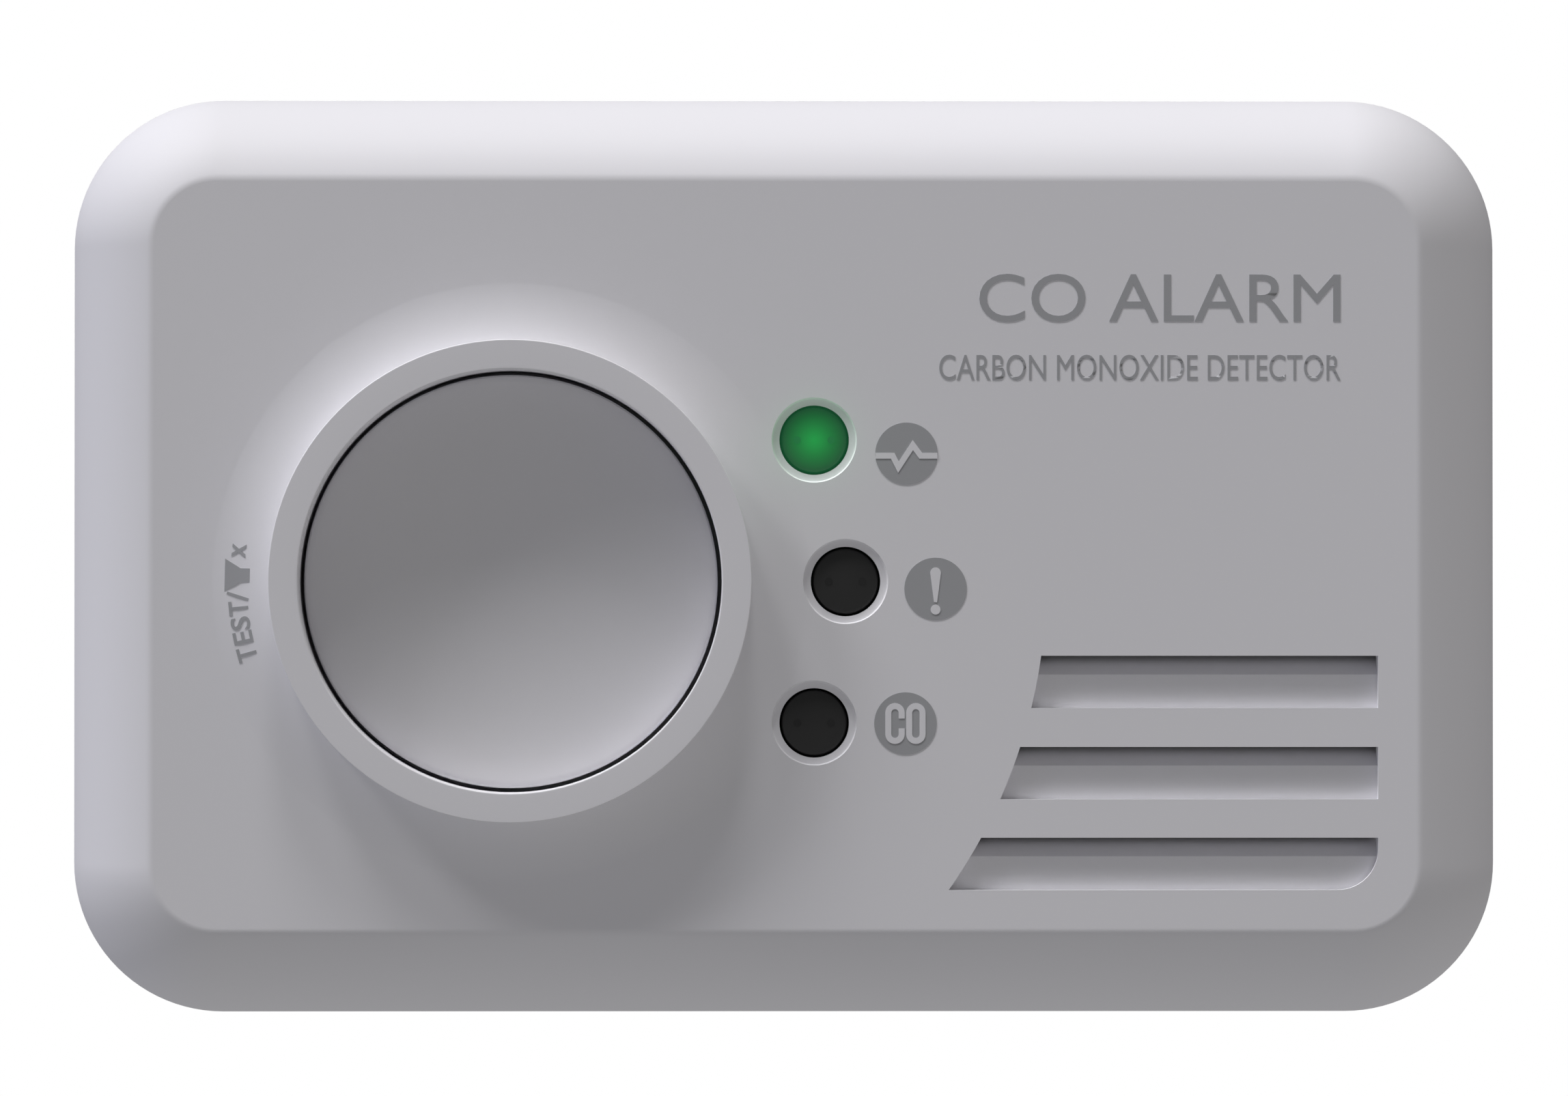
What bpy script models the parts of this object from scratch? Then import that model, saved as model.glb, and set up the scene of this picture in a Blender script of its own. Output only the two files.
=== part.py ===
"""Carbon monoxide alarm for a wall or a shelf, built as separate pieces.

The alarm is modelled lying on its back: X to the right of its face, Y up its face, and Z out of the wall,
with the origin in the middle of the back. The empty "stand_up" then turns everything upright, so that the
back faces +Y, the face looks along -Y and +Z is up, and puts the origin in the middle of the footprint.
All sizes are in metres.
"""
import math

import bmesh
import bpy
from mathutils import Matrix, Vector

# ---- driving dimensions -------------------------------------------------------------------------------

GAP = 0.0003  # running clearance between neighbouring pieces
MERGE = 0.00001

# case
BODY_WIDTH = 0.1075
BODY_HEIGHT = 0.0690
CORNER_RADIUS = 0.0113
WALL = 0.0020
SPLIT_Z = 0.0120  # where the front cover meets the rear cover
FACE_Z = 0.0330  # the flat faceplate
RIM_INSET = 0.0063  # how far the rounded rim runs in to the faceplate
RIM_TILT = math.radians(22)  # slope of the rim where it meets the faceplate
RIM_RADIUS = RIM_INSET / (1 - math.sin(RIM_TILT))
RIM_START_Z = FACE_Z - RIM_RADIUS * math.cos(RIM_TILT)
INNER_FACE_Z = FACE_Z - WALL
BACK_CHAMFER = 0.0010
CORNER_STEPS = 6
RIM_STEPS = 4

# test button and the boss around it
BUTTON_X = -0.0205
BUTTON_Y = -0.0020
BOSS_Z = 0.0359  # top of the ring around the button
RING_RADIUS = 0.0180
FLARE_RADIUS = 0.0229
FLARE_HEIGHT = 0.0008
BUTTON_HOLE_RADIUS = 0.01575
COLLAR_RADIUS = 0.0170
COLLAR_Z = 0.0280
BUTTON_RECESS = 0.0033  # how far the button stands back from the ring
BUTTON_TOP_Z = BOSS_Z - BUTTON_RECESS
DISH_DEPTH = 0.0006
BUTTON_RIM = 0.0006
BUTTON_WALL = 0.0013
STEM_RADIUS = 0.0026
SPRING_RADIUS = 0.0066
SPRING_WIRE = 0.0006
SPRING_TURNS = 4.5

# status lights
LIGHT_CIRCLE = 0.0250  # the lights sit on a circle about the button's axis
LIGHT_ANGLE = math.radians(25)
LED_RADIUS = 0.00245
LED_FLANGE_RADIUS = 0.0029
LED_FLANGE = 0.0010
LED_BASE_Z = 0.0242
LED_TOP_Z = 0.0326
LED_EDGE = 0.0003
LED_HOLE_RADIUS = LED_RADIUS + GAP / 2
LED_SINK_RADIUS = 0.00318
LED_SINK_DEPTH = 0.0003
LEAD_PITCH = 0.00254
LEAD_SIZE = 0.0005
LEAD_END_Z = 0.0192

# louvred vents
VENT_TOPS = (-0.00755, -0.01436, -0.02114)
VENT_HEIGHT = 0.0039
VENT_RIGHT_X = 0.0443
VENT_CIRCLE = 0.0400  # the vents' left ends follow a circle about the button's axis
LOUVRE_DEPTH = 0.0008  # the level part of each blade, below the face
LOUVRE_LEVEL = 0.0025
LOUVRE_HEAD_DEPTH = 0.0035
LOUVRE_THICKNESS = 0.0013
LOUVRE_REACH = 0.0005

# battery bay, cells and door
BAY_HALF_LENGTH = 0.0290
BAY_LOW_Y = -0.0191
BAY_HIGH_Y = 0.0155
BAY_FLOOR_Z = 0.0174
BAY_WALL = 0.0012
CELL_RADIUS = 0.00725
CELL_LENGTH = 0.0505
CELL_NUB_RADIUS = 0.00275
CELL_NUB = 0.0010
CELL_Z = 0.00985
CELL_Y = (0.0073, -0.0079)
DOOR_THICKNESS = 0.0018
HINGE_Y = -0.0168
HINGE_Z = 0.0020
BARREL_RADIUS = 0.0019
PEG_RADIUS = 0.0010
PEG_HOLE_RADIUS = PEG_RADIUS + GAP
LATCH_WIDTH = 0.0100
LATCH_REACH = 0.0008
LATCH_SLIT = 0.0006
LATCH_LENGTH = 0.0075

# fixings
CASE_SCREW_X = 0.0468
CASE_SCREW_Y = 0.0220
POST_RADIUS = 0.0030
POST_END_Z = INNER_FACE_Z + GAP
SCREW_HEAD_RADIUS = 0.0025
SCREW_SEAT_Z = 0.0070
SCREW_HEAD = 0.0018
SCREW_RADIUS = 0.0013
SCREW_END_Z = 0.0205
BOARD_SCREWS = ((-0.0390, 0.0240), (0.0390, 0.0240), (-0.0390, -0.0240), (0.0030, -0.0245))
BOARD_POST_RADIUS = 0.0025
BOARD_SCREW_RADIUS = 0.0010
BOARD_SCREW_HEAD_RADIUS = 0.0019
BOARD_SCREW_HEAD = 0.0013
BOARD_SCREW_END_Z = 0.0280
KEYHOLE_X = 0.0400
KEYHOLE_Y = 0.0030
KEYHOLE_RADIUS = 0.0042
KEYHOLE_SLOT_RADIUS = 0.0022
KEYHOLE_RISE = 0.0085

# rating label on the back
LABEL_WIDTH = 0.0600
LABEL_HEIGHT = 0.0105
LABEL_Y = 0.0250
LABEL_THICKNESS = 0.0002

# circuit board and what it carries
BOARD_HALF_WIDTH = 0.0430
BOARD_HALF_HEIGHT = 0.0280
BOARD_Z = 0.0204
BOARD_THICKNESS = 0.0016
BOARD_TOP_Z = BOARD_Z + BOARD_THICKNESS
PARTS_Z = BOARD_TOP_Z + GAP
SWITCH_SIZE = 0.0060
SWITCH_HEIGHT = 0.0034
PLUNGER_RADIUS = 0.00175
PLUNGER_TOP_Z = 0.0285
PLAY = 0.0007  # free play between the button's stem and the switch plunger
SENSOR_X = 0.0240
SENSOR_Y = 0.0140
SENSOR_RADIUS = 0.0100
SENSOR_HEIGHT = 0.0046
SOUNDER_X = 0.0310
SOUNDER_Y = -0.0135
SOUNDER_RADIUS = 0.0120
SOUNDER_BASE_HEIGHT = 0.0022
SOUNDER_HEIGHT = 0.0052
SOUNDER_OUTLET_RADIUS = 0.0022
CONTACT_THICKNESS = 0.0004
CONTACT_HALF_WIDTH = 0.0050
TAB_HALF_WIDTH = 0.0013
TAB_END_Z = BOARD_TOP_Z - GAP
BUMP_HEIGHT = 0.0012
CELL_SPRING_WIRE = 0.0006
CELL_SPRING_TURNS = 3.5

# ---- collections, materials and basic solids ----------------------------------------------------------


def clear_scene():
    """Empty the file, so that the script builds the same scene each run."""
    for thing in list(bpy.data.objects):
        bpy.data.objects.remove(thing, do_unlink=True)


def new_collection(name):
    """A fresh collection linked to the scene."""
    collection = bpy.data.collections.new(name)
    bpy.context.scene.collection.children.link(collection)
    return collection


def new_empty(name, location, parent=None):
    """An empty that carries other objects, placed on a reference point or on a joint's axis."""
    empty = bpy.data.objects.new(name, None)
    empty.empty_display_size = 0.01
    empty.location = location
    empty.parent = parent
    PARTS.objects.link(empty)
    return empty


def material(name, colour, roughness, metallic=0.0):
    """A Principled material, made once and then shared."""
    found = bpy.data.materials.get(name)
    if found:
        return found
    made = bpy.data.materials.new(name)
    made.use_nodes = True
    shader = made.node_tree.nodes["Principled BSDF"]
    shader.inputs["Base Color"].default_value = (*colour, 1.0)
    shader.inputs["Roughness"].default_value = roughness
    shader.inputs["Metallic"].default_value = metallic
    return made


def white_plastic():
    return material("white_plastic", (0.80, 0.80, 0.79), 0.55)


def sounder_plastic():
    return material("sounder_plastic", (0.05, 0.05, 0.05), 0.5)


def switch_plastic():
    return material("switch_plastic", (0.06, 0.06, 0.06), 0.45)


def chip_epoxy():
    return material("chip_epoxy", (0.04, 0.04, 0.045), 0.4)


def steel():
    return material("steel", (0.62, 0.62, 0.60), 0.35, 1.0)


def brass():
    return material("brass", (0.78, 0.60, 0.28), 0.3, 1.0)


def copper_winding():
    return material("copper_winding", (0.55, 0.24, 0.10), 0.35, 0.8)


def piezo_ceramic():
    return material("piezo_ceramic", (0.82, 0.80, 0.72), 0.6)


def board_green():
    return material("board_green", (0.02, 0.16, 0.07), 0.4)


def led_green():
    return material("led_green", (0.05, 0.55, 0.12), 0.25)


def led_amber():
    return material("led_amber", (0.35, 0.20, 0.05), 0.25)


def led_red():
    return material("led_red", (0.35, 0.04, 0.03), 0.25)


def cell_jacket():
    return material("cell_jacket", (0.10, 0.14, 0.22), 0.35)


def label_paper():
    return material("label_paper", (0.78, 0.78, 0.76), 0.6)


def finish(thing, name, look, parent):
    """Name a part, give it its material and hang it on its parent empty."""
    thing.name = name
    thing.data.name = name
    thing.data.materials.clear()
    thing.data.materials.append(look)
    move_to(thing, PARTS)
    attach(thing, parent)
    return thing


def attach(thing, parent):
    """Parent a solid that was made in the case's frame, and keep it where it is in that frame."""
    thing.parent = parent
    if parent is not STAND_UP:
        thing.location -= parent.location


def move_to(thing, collection):
    """Leave an object in this collection only."""
    for old in list(thing.users_collection):
        old.objects.unlink(thing)
    collection.objects.link(thing)


def as_tool(thing):
    """Turn a solid into a cutter or a piece to be joined, which isn't part of the model itself."""
    thing.hide_render = True
    thing.display_type = "WIRE"
    move_to(thing, CUTTERS)
    thing.parent = STAND_UP
    return thing


def from_bmesh(mesh_data, name):
    """Put a bmesh in a new object."""
    mesh = bpy.data.meshes.new(name)
    mesh_data.to_mesh(mesh)
    mesh_data.free()
    thing = bpy.data.objects.new(name, mesh)
    CUTTERS.objects.link(thing)
    return thing


def box(x_range, y_range, z_range, name="box"):
    """A box between three pairs of coordinates."""
    low = Vector((x_range[0], y_range[0], z_range[0]))
    high = Vector((x_range[1], y_range[1], z_range[1]))
    solid = bmesh.new()
    place = Matrix.Translation((low + high) / 2) @ Matrix.Diagonal((*(high - low), 1.0))
    bmesh.ops.create_cube(solid, size=1.0, matrix=place)
    return from_bmesh(solid, name)


def cylinder(radius, x, y, z_range, steps=24, axis="Z", top_radius=None, name="cylinder"):
    """A round bar or a cone along Z, or along X when axis says so (x and y are then its y and z)."""
    length = z_range[1] - z_range[0]
    middle = (z_range[0] + z_range[1]) / 2
    place = Matrix.Translation((x, y, middle))
    if axis == "X":
        place = Matrix.Translation((middle, x, y)) @ Matrix.Rotation(math.pi / 2, 4, "Y")
    solid = bmesh.new()
    bmesh.ops.create_cone(
        solid,
        cap_ends=True,
        segments=steps,
        radius1=radius,
        radius2=radius if top_radius is None else top_radius,
        depth=length,
        matrix=place,
    )
    made = from_bmesh(solid, name)
    smooth(made)
    return made


def flat(outline, z_low, z_high, name="flat"):
    """A flat outline as a plate: a filled 2D curve, extruded and then made a mesh with welded caps."""
    curve = bpy.data.curves.new(name, "CURVE")
    curve.dimensions = "2D"
    curve.fill_mode = "BOTH"
    curve.extrude = (z_high - z_low) / 2
    line = curve.splines.new("POLY")
    line.points.add(len(outline) - 1)
    for point, (x, y) in zip(line.points, outline):
        point.co = (x, y, 0.0, 1.0)
    line.use_cyclic_u = True
    guide = bpy.data.objects.new(name, curve)
    guide.location = (0.0, 0.0, (z_low + z_high) / 2)
    return curve_to_mesh(guide)


def curve_to_mesh(guide):
    """Replace a curve object by a mesh object with the same shape and place."""
    bpy.context.scene.collection.objects.link(guide)
    depsgraph = bpy.context.evaluated_depsgraph_get()
    mesh = bpy.data.meshes.new_from_object(guide.evaluated_get(depsgraph))
    welded = bmesh.new()
    welded.from_mesh(mesh)
    bmesh.ops.remove_doubles(welded, verts=welded.verts, dist=MERGE)
    bmesh.ops.recalc_face_normals(welded, faces=welded.faces)
    welded.to_mesh(mesh)
    welded.free()
    thing = bpy.data.objects.new(guide.name, mesh)
    thing.matrix_world = guide.matrix_world
    bpy.data.objects.remove(guide, do_unlink=True)
    CUTTERS.objects.link(thing)
    return thing


def wire(points, thickness, name="wire"):
    """A round wire through these points."""
    curve = bpy.data.curves.new(name, "CURVE")
    curve.dimensions = "3D"
    curve.bevel_depth = thickness / 2
    curve.bevel_resolution = 1
    curve.use_fill_caps = True
    line = curve.splines.new("POLY")
    line.points.add(len(points) - 1)
    for point, place in zip(line.points, points):
        point.co = (*place, 1.0)
    return curve_to_mesh(bpy.data.objects.new(name, curve))


def turned(profile, x, y, steps=32, name="turned"):
    """A turned solid about a line along Z: the profile lists (radius, z), outer side from top to bottom."""
    mesh = bpy.data.meshes.new(name)
    points = [(radius, 0.0, z) for radius, z in profile]
    edges = [(i, i + 1) for i in range(len(points) - 1)]
    closed = profile[0][0] > 0
    if closed:
        edges.append((len(points) - 1, 0))
    mesh.from_pydata(points, edges, [])
    thing = bpy.data.objects.new(name, mesh)
    CUTTERS.objects.link(thing)
    thing.location = (x, y, 0.0)
    screw = thing.modifiers.new("turn", "SCREW")
    screw.steps = steps
    screw.render_steps = steps
    screw.use_merge_vertices = True
    screw.merge_threshold = MERGE
    smooth(thing)
    return thing


def smooth(thing, angle=math.radians(35)):
    """Shade a round piece smooth, with its real edges kept sharp."""
    mesh = thing.data
    if mesh.polygons:
        mesh.shade_smooth()
        mesh.set_sharp_from_angle(angle=angle)


def boolean(thing, tool, operation):
    """Join a tool to a solid, or cut it away."""
    change = thing.modifiers.new(operation.lower(), "BOOLEAN")
    change.operation = operation
    change.solver = "EXACT"
    change.object = as_tool(tool)


def join(thing, *tools):
    for tool in tools:
        boolean(thing, tool, "UNION")


def cut(thing, *tools):
    for tool in tools:
        boolean(thing, tool, "DIFFERENCE")


def soften(thing, width, segments=1):
    """Break the sharp edges of a solid."""
    bevel = thing.modifiers.new("soften", "BEVEL")
    bevel.width = width
    bevel.segments = segments
    bevel.limit_method = "ANGLE"
    bevel.angle_limit = math.radians(40)


def loft(rings, name):
    """A closed solid through a stack of outlines with equal numbers of points, capped at both ends."""
    solid = bmesh.new()
    levels = [[solid.verts.new(point) for point in ring] for ring in rings]
    for lower, upper in zip(levels, levels[1:]):
        for i in range(len(lower)):
            j = (i + 1) % len(lower)
            solid.faces.new((lower[i], lower[j], upper[j], upper[i]))
    solid.faces.new(levels[0])
    solid.faces.new(levels[-1])
    bmesh.ops.recalc_face_normals(solid, faces=solid.faces)
    return from_bmesh(solid, name)


# ---- outlines -----------------------------------------------------------------------------------------


def rounded_rectangle(half_width, half_height, radius, steps=CORNER_STEPS, centre=(0.0, 0.0)):
    """The points of a rectangle with round corners, anticlockwise."""
    outline = []
    corners = ((1, 1, 0), (-1, 1, 90), (-1, -1, 180), (1, -1, 270))
    for side_x, side_y, start in corners:
        for step in range(steps + 1):
            angle = math.radians(start + 90 * step / steps)
            x = side_x * (half_width - radius) + radius * math.cos(angle)
            y = side_y * (half_height - radius) + radius * math.sin(angle)
            outline.append((centre[0] + x, centre[1] + y))
    return outline


def body_ring(inset, z):
    """The case's outline, moved inwards by inset, at height z."""
    outline = rounded_rectangle(BODY_WIDTH / 2 - inset, BODY_HEIGHT / 2 - inset, CORNER_RADIUS - inset)
    return [(x, y, z) for x, y in outline]


def rim_rings(thickness, end_z):
    """Rings up the rounded rim, at this depth below the outer surface, ending at a flat height."""
    radius = RIM_RADIUS - thickness
    end_angle = math.asin((end_z - RIM_START_Z) / radius)
    rings = []
    for step in range(RIM_STEPS + 1):
        angle = end_angle * step / RIM_STEPS
        inset = thickness + radius * (1 - math.cos(angle))
        rings.append(body_ring(inset, RIM_START_Z + radius * math.sin(angle)))
    return rings


def light_places():
    """The three lights, top to bottom, on their circle about the button."""
    return [
        (BUTTON_X + LIGHT_CIRCLE * math.cos(turn), BUTTON_Y + LIGHT_CIRCLE * math.sin(turn))
        for turn in (LIGHT_ANGLE, 0.0, -LIGHT_ANGLE)
    ]


def vent_left_x(y):
    """Where the circle about the button crosses height y, right of the button."""
    return BUTTON_X + math.sqrt(VENT_CIRCLE**2 - (y - BUTTON_Y) ** 2)


def vent_outline(top):
    """One vent: straight top, bottom and right end, and a left end along the circle."""
    bottom = top - VENT_HEIGHT
    arc_steps = 3
    heights = [top + (bottom - top) * step / arc_steps for step in range(arc_steps + 1)]
    left = [(vent_left_x(y), y) for y in heights]
    return left + [(VENT_RIGHT_X, bottom), (VENT_RIGHT_X, top)]


# ---- case ---------------------------------------------------------------------------------------------


def make_front_cover():
    inner = rim_rings(WALL, INNER_FACE_Z)
    outer = rim_rings(0.0, FACE_Z)
    rings = list(reversed(inner)) + [body_ring(WALL, SPLIT_Z), body_ring(0.0, SPLIT_Z)] + outer
    cover = loft(rings, "front_cover")
    boss_middle = (BUTTON_HOLE_RADIUS + COLLAR_RADIUS) / 2
    cut(cover, cylinder(boss_middle, BUTTON_X, BUTTON_Y, (INNER_FACE_Z - WALL, FACE_Z + WALL), steps=40))
    join(cover, button_boss())
    for x, y in case_screw_places():
        join(cover, cylinder(POST_RADIUS, x, y, (SPLIT_Z + GAP, POST_END_Z), steps=16))
    for x, y in BOARD_SCREWS:
        join(cover, cylinder(BOARD_POST_RADIUS, x, y, (PARTS_Z, INNER_FACE_Z + WALL / 2), steps=16))
    for x, y in light_places():
        cut(cover, light_hole(x, y))
    for top in VENT_TOPS:
        cut(cover, flat(vent_outline(top), INNER_FACE_Z - WALL, FACE_Z + WALL))
        join(cover, louvre(top))
    for x, y in case_screw_places():
        cut(cover, cylinder(SCREW_RADIUS + GAP, x, y, (SPLIT_Z - WALL, SCREW_END_Z + GAP), steps=12))
    for x, y in BOARD_SCREWS:
        hole_end = BOARD_SCREW_END_Z + GAP
        cut(cover, cylinder(BOARD_SCREW_RADIUS + GAP, x, y, (BOARD_Z, hole_end), steps=12))
    return finish(cover, "front_cover", white_plastic(), STAND_UP)


def button_boss():
    """The ring that stands up around the button, its flared foot and the collar that guides the button."""
    flare_steps = 4
    foot_z = FACE_Z - MERGE
    profile = [(BUTTON_HOLE_RADIUS, BOSS_Z), (RING_RADIUS, BOSS_Z)]
    for step in range(flare_steps + 1):
        share = step / flare_steps
        radius = RING_RADIUS + (FLARE_RADIUS - RING_RADIUS) * share
        profile.append((radius, foot_z + FLARE_HEIGHT * (1 - share) ** 2))
    middle_z = (FACE_Z + INNER_FACE_Z) / 2
    profile += [
        (FLARE_RADIUS, middle_z),
        (COLLAR_RADIUS, middle_z),
        (COLLAR_RADIUS, COLLAR_Z),
        (BUTTON_HOLE_RADIUS, COLLAR_Z),
    ]
    return turned(profile, BUTTON_X, BUTTON_Y, steps=48)


def light_hole(x, y):
    """A hole for a light, with a shallow flat sink at the face."""
    above = FACE_Z + WALL
    below = INNER_FACE_Z - WALL
    sink_floor = FACE_Z - LED_SINK_DEPTH
    profile = [
        (0.0, above),
        (LED_SINK_RADIUS, above),
        (LED_SINK_RADIUS, sink_floor),
        (LED_HOLE_RADIUS, sink_floor),
        (LED_HOLE_RADIUS, below),
        (0.0, below),
    ]
    return turned(profile, x, y, steps=24)


def louvre(top):
    """The blade behind one vent: level at its foot, then falling away behind the vent's top edge."""
    bottom = top - VENT_HEIGHT
    level_z = FACE_Z - LOUVRE_DEPTH
    head_z = FACE_Z - LOUVRE_HEAD_DEPTH
    head_y = top + LOUVRE_REACH
    bend_y = bottom + LOUVRE_LEVEL
    left = vent_left_x(bottom) - WALL / 2
    right = VENT_RIGHT_X + WALL / 2
    section = [
        (bottom - WALL / 2, level_z),
        (bottom - WALL / 2, level_z - LOUVRE_THICKNESS),
        (bend_y, level_z - LOUVRE_THICKNESS),
        (head_y, head_z - LOUVRE_THICKNESS),
        (head_y, head_z),
        (bend_y, level_z),
    ]
    blade = flat(section, left, right, "louvre")
    # the section was drawn in X and Y: turn it so that it runs along X with its heights in Z
    turn = Matrix(((0, 0, 1, 0), (1, 0, 0, 0), (0, 1, 0, 0), (0, 0, 0, 1)))
    blade.data.transform(turn @ Matrix.Translation(blade.location))
    blade.location = (0.0, 0.0, 0.0)
    return blade


def case_screw_places():
    return [(sx * CASE_SCREW_X, sy * CASE_SCREW_Y) for sx in (-1, 1) for sy in (-1, 1)]


def make_rear_cover():
    top_z = SPLIT_Z - GAP
    lip_z = SPLIT_Z + WALL
    lip_inset = WALL + GAP
    inner_inset = lip_inset + BAY_WALL
    rings = [
        body_ring(inner_inset, WALL),
        body_ring(inner_inset, lip_z),
        body_ring(lip_inset, lip_z),
        body_ring(lip_inset, top_z),
        body_ring(0.0, top_z),
        body_ring(0.0, BACK_CHAMFER),
        body_ring(BACK_CHAMFER, 0.0),
    ]
    cover = loft(rings, "rear_cover")
    join(cover, battery_bay_block())
    for x, y in case_screw_places():
        join(cover, cylinder(POST_RADIUS + BAY_WALL / 2, x, y, (WALL / 2, top_z), steps=16))
    cut(cover, bay_hollow())
    join(cover, *bay_details())
    cut(cover, latch_notch(), peg_bore())
    for x in (-KEYHOLE_X, KEYHOLE_X):
        cut(cover, keyhole(x))
    for x, y in case_screw_places():
        cut(cover, case_screw_bore(x, y))
    cut(cover, label_recess())
    for y in CELL_Y:
        cut(cover, tab_slot(y, BAY_FLOOR_Z - WALL, BAY_FLOOR_Z + WALL))
    return finish(cover, "rear_cover", white_plastic(), STAND_UP)


def battery_bay_block():
    """The solid block that the battery bay is hollowed from."""
    half = BAY_HALF_LENGTH + BAY_WALL
    return box(
        (-half, half),
        (BAY_LOW_Y - BAY_WALL, BAY_HIGH_Y + BAY_WALL),
        (WALL / 2, BAY_FLOOR_Z + BAY_WALL),
    )


def bay_hollow():
    """The room for the cells, open to the back."""
    return box((-BAY_HALF_LENGTH, BAY_HALF_LENGTH), (BAY_LOW_Y, BAY_HIGH_Y), (-WALL, BAY_FLOOR_Z))


def bay_details():
    """Two stops behind the door's upper corners and a rib on the floor between the cells."""
    rib_y = sum(CELL_Y) / 2
    rib = box(
        (-BAY_HALF_LENGTH / 2, BAY_HALF_LENGTH / 2),
        (rib_y - BAY_WALL / 2, rib_y + BAY_WALL / 2),
        (BAY_FLOOR_Z - 0.0028, BAY_FLOOR_Z + BAY_WALL / 2),
    )
    stops = []
    stop_z = DOOR_THICKNESS + GAP
    for side in (-1, 1):
        ends = sorted((side * (BAY_HALF_LENGTH + BAY_WALL / 2), side * (BAY_HALF_LENGTH - 0.0040)))
        height = (BAY_HIGH_Y - 0.0008, BAY_HIGH_Y + BAY_WALL / 2)
        stops.append(box(ends, height, (stop_z, stop_z + BAY_WALL)))
    return [rib] + stops


def latch_notch():
    """The finger notch above the door's latch."""
    half = LATCH_WIDTH / 2 + GAP
    notch = (BAY_HIGH_Y - GAP, BAY_HIGH_Y + LATCH_REACH)
    return box((-half, half), notch, (-WALL, DOOR_THICKNESS + GAP))


def peg_bore():
    """The line of the door's hinge, bored through both ends of the bay."""
    reach = BAY_HALF_LENGTH + BAY_WALL + GAP
    return cylinder(PEG_HOLE_RADIUS, HINGE_Y, HINGE_Z, (-reach, reach), steps=16, axis="X")


def keyhole(x):
    """A keyhole for a wall screw: a round entry and a narrow slot above it."""
    steps = 8
    entry_turn = math.asin(KEYHOLE_SLOT_RADIUS / KEYHOLE_RADIUS)
    start = math.pi / 2 + entry_turn
    sweep = 2 * math.pi - 2 * entry_turn
    outline = [
        (
            x + KEYHOLE_RADIUS * math.cos(start + sweep * step / (2 * steps)),
            KEYHOLE_Y + KEYHOLE_RADIUS * math.sin(start + sweep * step / (2 * steps)),
        )
        for step in range(2 * steps + 1)
    ]
    slot_y = KEYHOLE_Y + KEYHOLE_RISE
    outline += [
        (
            x + KEYHOLE_SLOT_RADIUS * math.cos(math.pi * step / steps),
            slot_y + KEYHOLE_SLOT_RADIUS * math.sin(math.pi * step / steps),
        )
        for step in range(steps + 1)
    ]
    return flat(outline, -WALL, WALL + GAP)


def case_screw_bore(x, y):
    """The stepped bore that hides one case screw's head."""
    head_bore = SCREW_HEAD_RADIUS + GAP
    shank_bore = SCREW_RADIUS + GAP
    seat = SCREW_SEAT_Z + GAP
    profile = [
        (0.0, SPLIT_Z + WALL),
        (shank_bore, SPLIT_Z + WALL),
        (shank_bore, seat),
        (head_bore, seat),
        (head_bore, -WALL),
        (0.0, -WALL),
    ]
    return turned(profile, x, y, steps=16)


def label_recess():
    half_width = LABEL_WIDTH / 2 + GAP
    half_height = LABEL_HEIGHT / 2 + GAP
    return box(
        (-half_width, half_width),
        (LABEL_Y - half_height, LABEL_Y + half_height),
        (-WALL, LABEL_THICKNESS + GAP),
    )


def tab_slot(y, z_low, z_high):
    """The slot that one battery contact's solder tab passes through."""
    x = BAY_HALF_LENGTH - GAP - CONTACT_THICKNESS / 2
    half = CONTACT_THICKNESS / 2 + GAP
    reach = TAB_HALF_WIDTH + GAP
    return box((x - half, x + half), (y - reach, y + reach), (z_low, z_high))


def make_battery_door(hinge):
    half = BAY_HALF_LENGTH - GAP
    top = BAY_HIGH_Y - GAP
    door = box((-half, half), (HINGE_Y, top), (0.0, DOOR_THICKNESS))
    barrel = cylinder(BARREL_RADIUS, HINGE_Y, HINGE_Z, (-half, half), steps=24, axis="X")
    peg_end = BAY_HALF_LENGTH + BAY_WALL - GAP
    pegs = cylinder(PEG_RADIUS, HINGE_Y, HINGE_Z, (-peg_end, peg_end), steps=16, axis="X")
    latch_half = LATCH_WIDTH / 2
    latch = box((-latch_half, latch_half), (top - GAP, top + LATCH_REACH), (0.0, DOOR_THICKNESS))
    join(door, barrel, pegs, latch)
    for x in (-BAY_HALF_LENGTH / 2, BAY_HALF_LENGTH / 2):
        ribs = box(
            (x - BAY_WALL / 2, x + BAY_WALL / 2),
            (HINGE_Y + BARREL_RADIUS / 2, top - BARREL_RADIUS),
            (DOOR_THICKNESS / 2, CELL_Z - CELL_RADIUS - GAP),
        )
        join(door, ribs)
    for side in (-1, 1):
        x = side * (latch_half + LATCH_SLIT / 2)
        slit_ends = (x - LATCH_SLIT / 2, x + LATCH_SLIT / 2)
        cut(door, box(slit_ends, (top - LATCH_LENGTH, top + WALL), (-WALL, WALL + GAP)))
    cut(door, finger_scoop(top))
    return finish(door, "battery_door", white_plastic(), hinge)


def finger_scoop(top):
    """The shallow hollow where a thumb pulls the latch."""
    scoop_radius = 0.0120
    scoop_depth = 0.0008
    y = top - LATCH_LENGTH / 2
    half_width = LATCH_WIDTH / 2 - 2 * LATCH_SLIT
    return cylinder(scoop_radius, y, scoop_depth - scoop_radius, (-half_width, half_width), 64, "X")


# ---- button and switch --------------------------------------------------------------------------------


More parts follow.
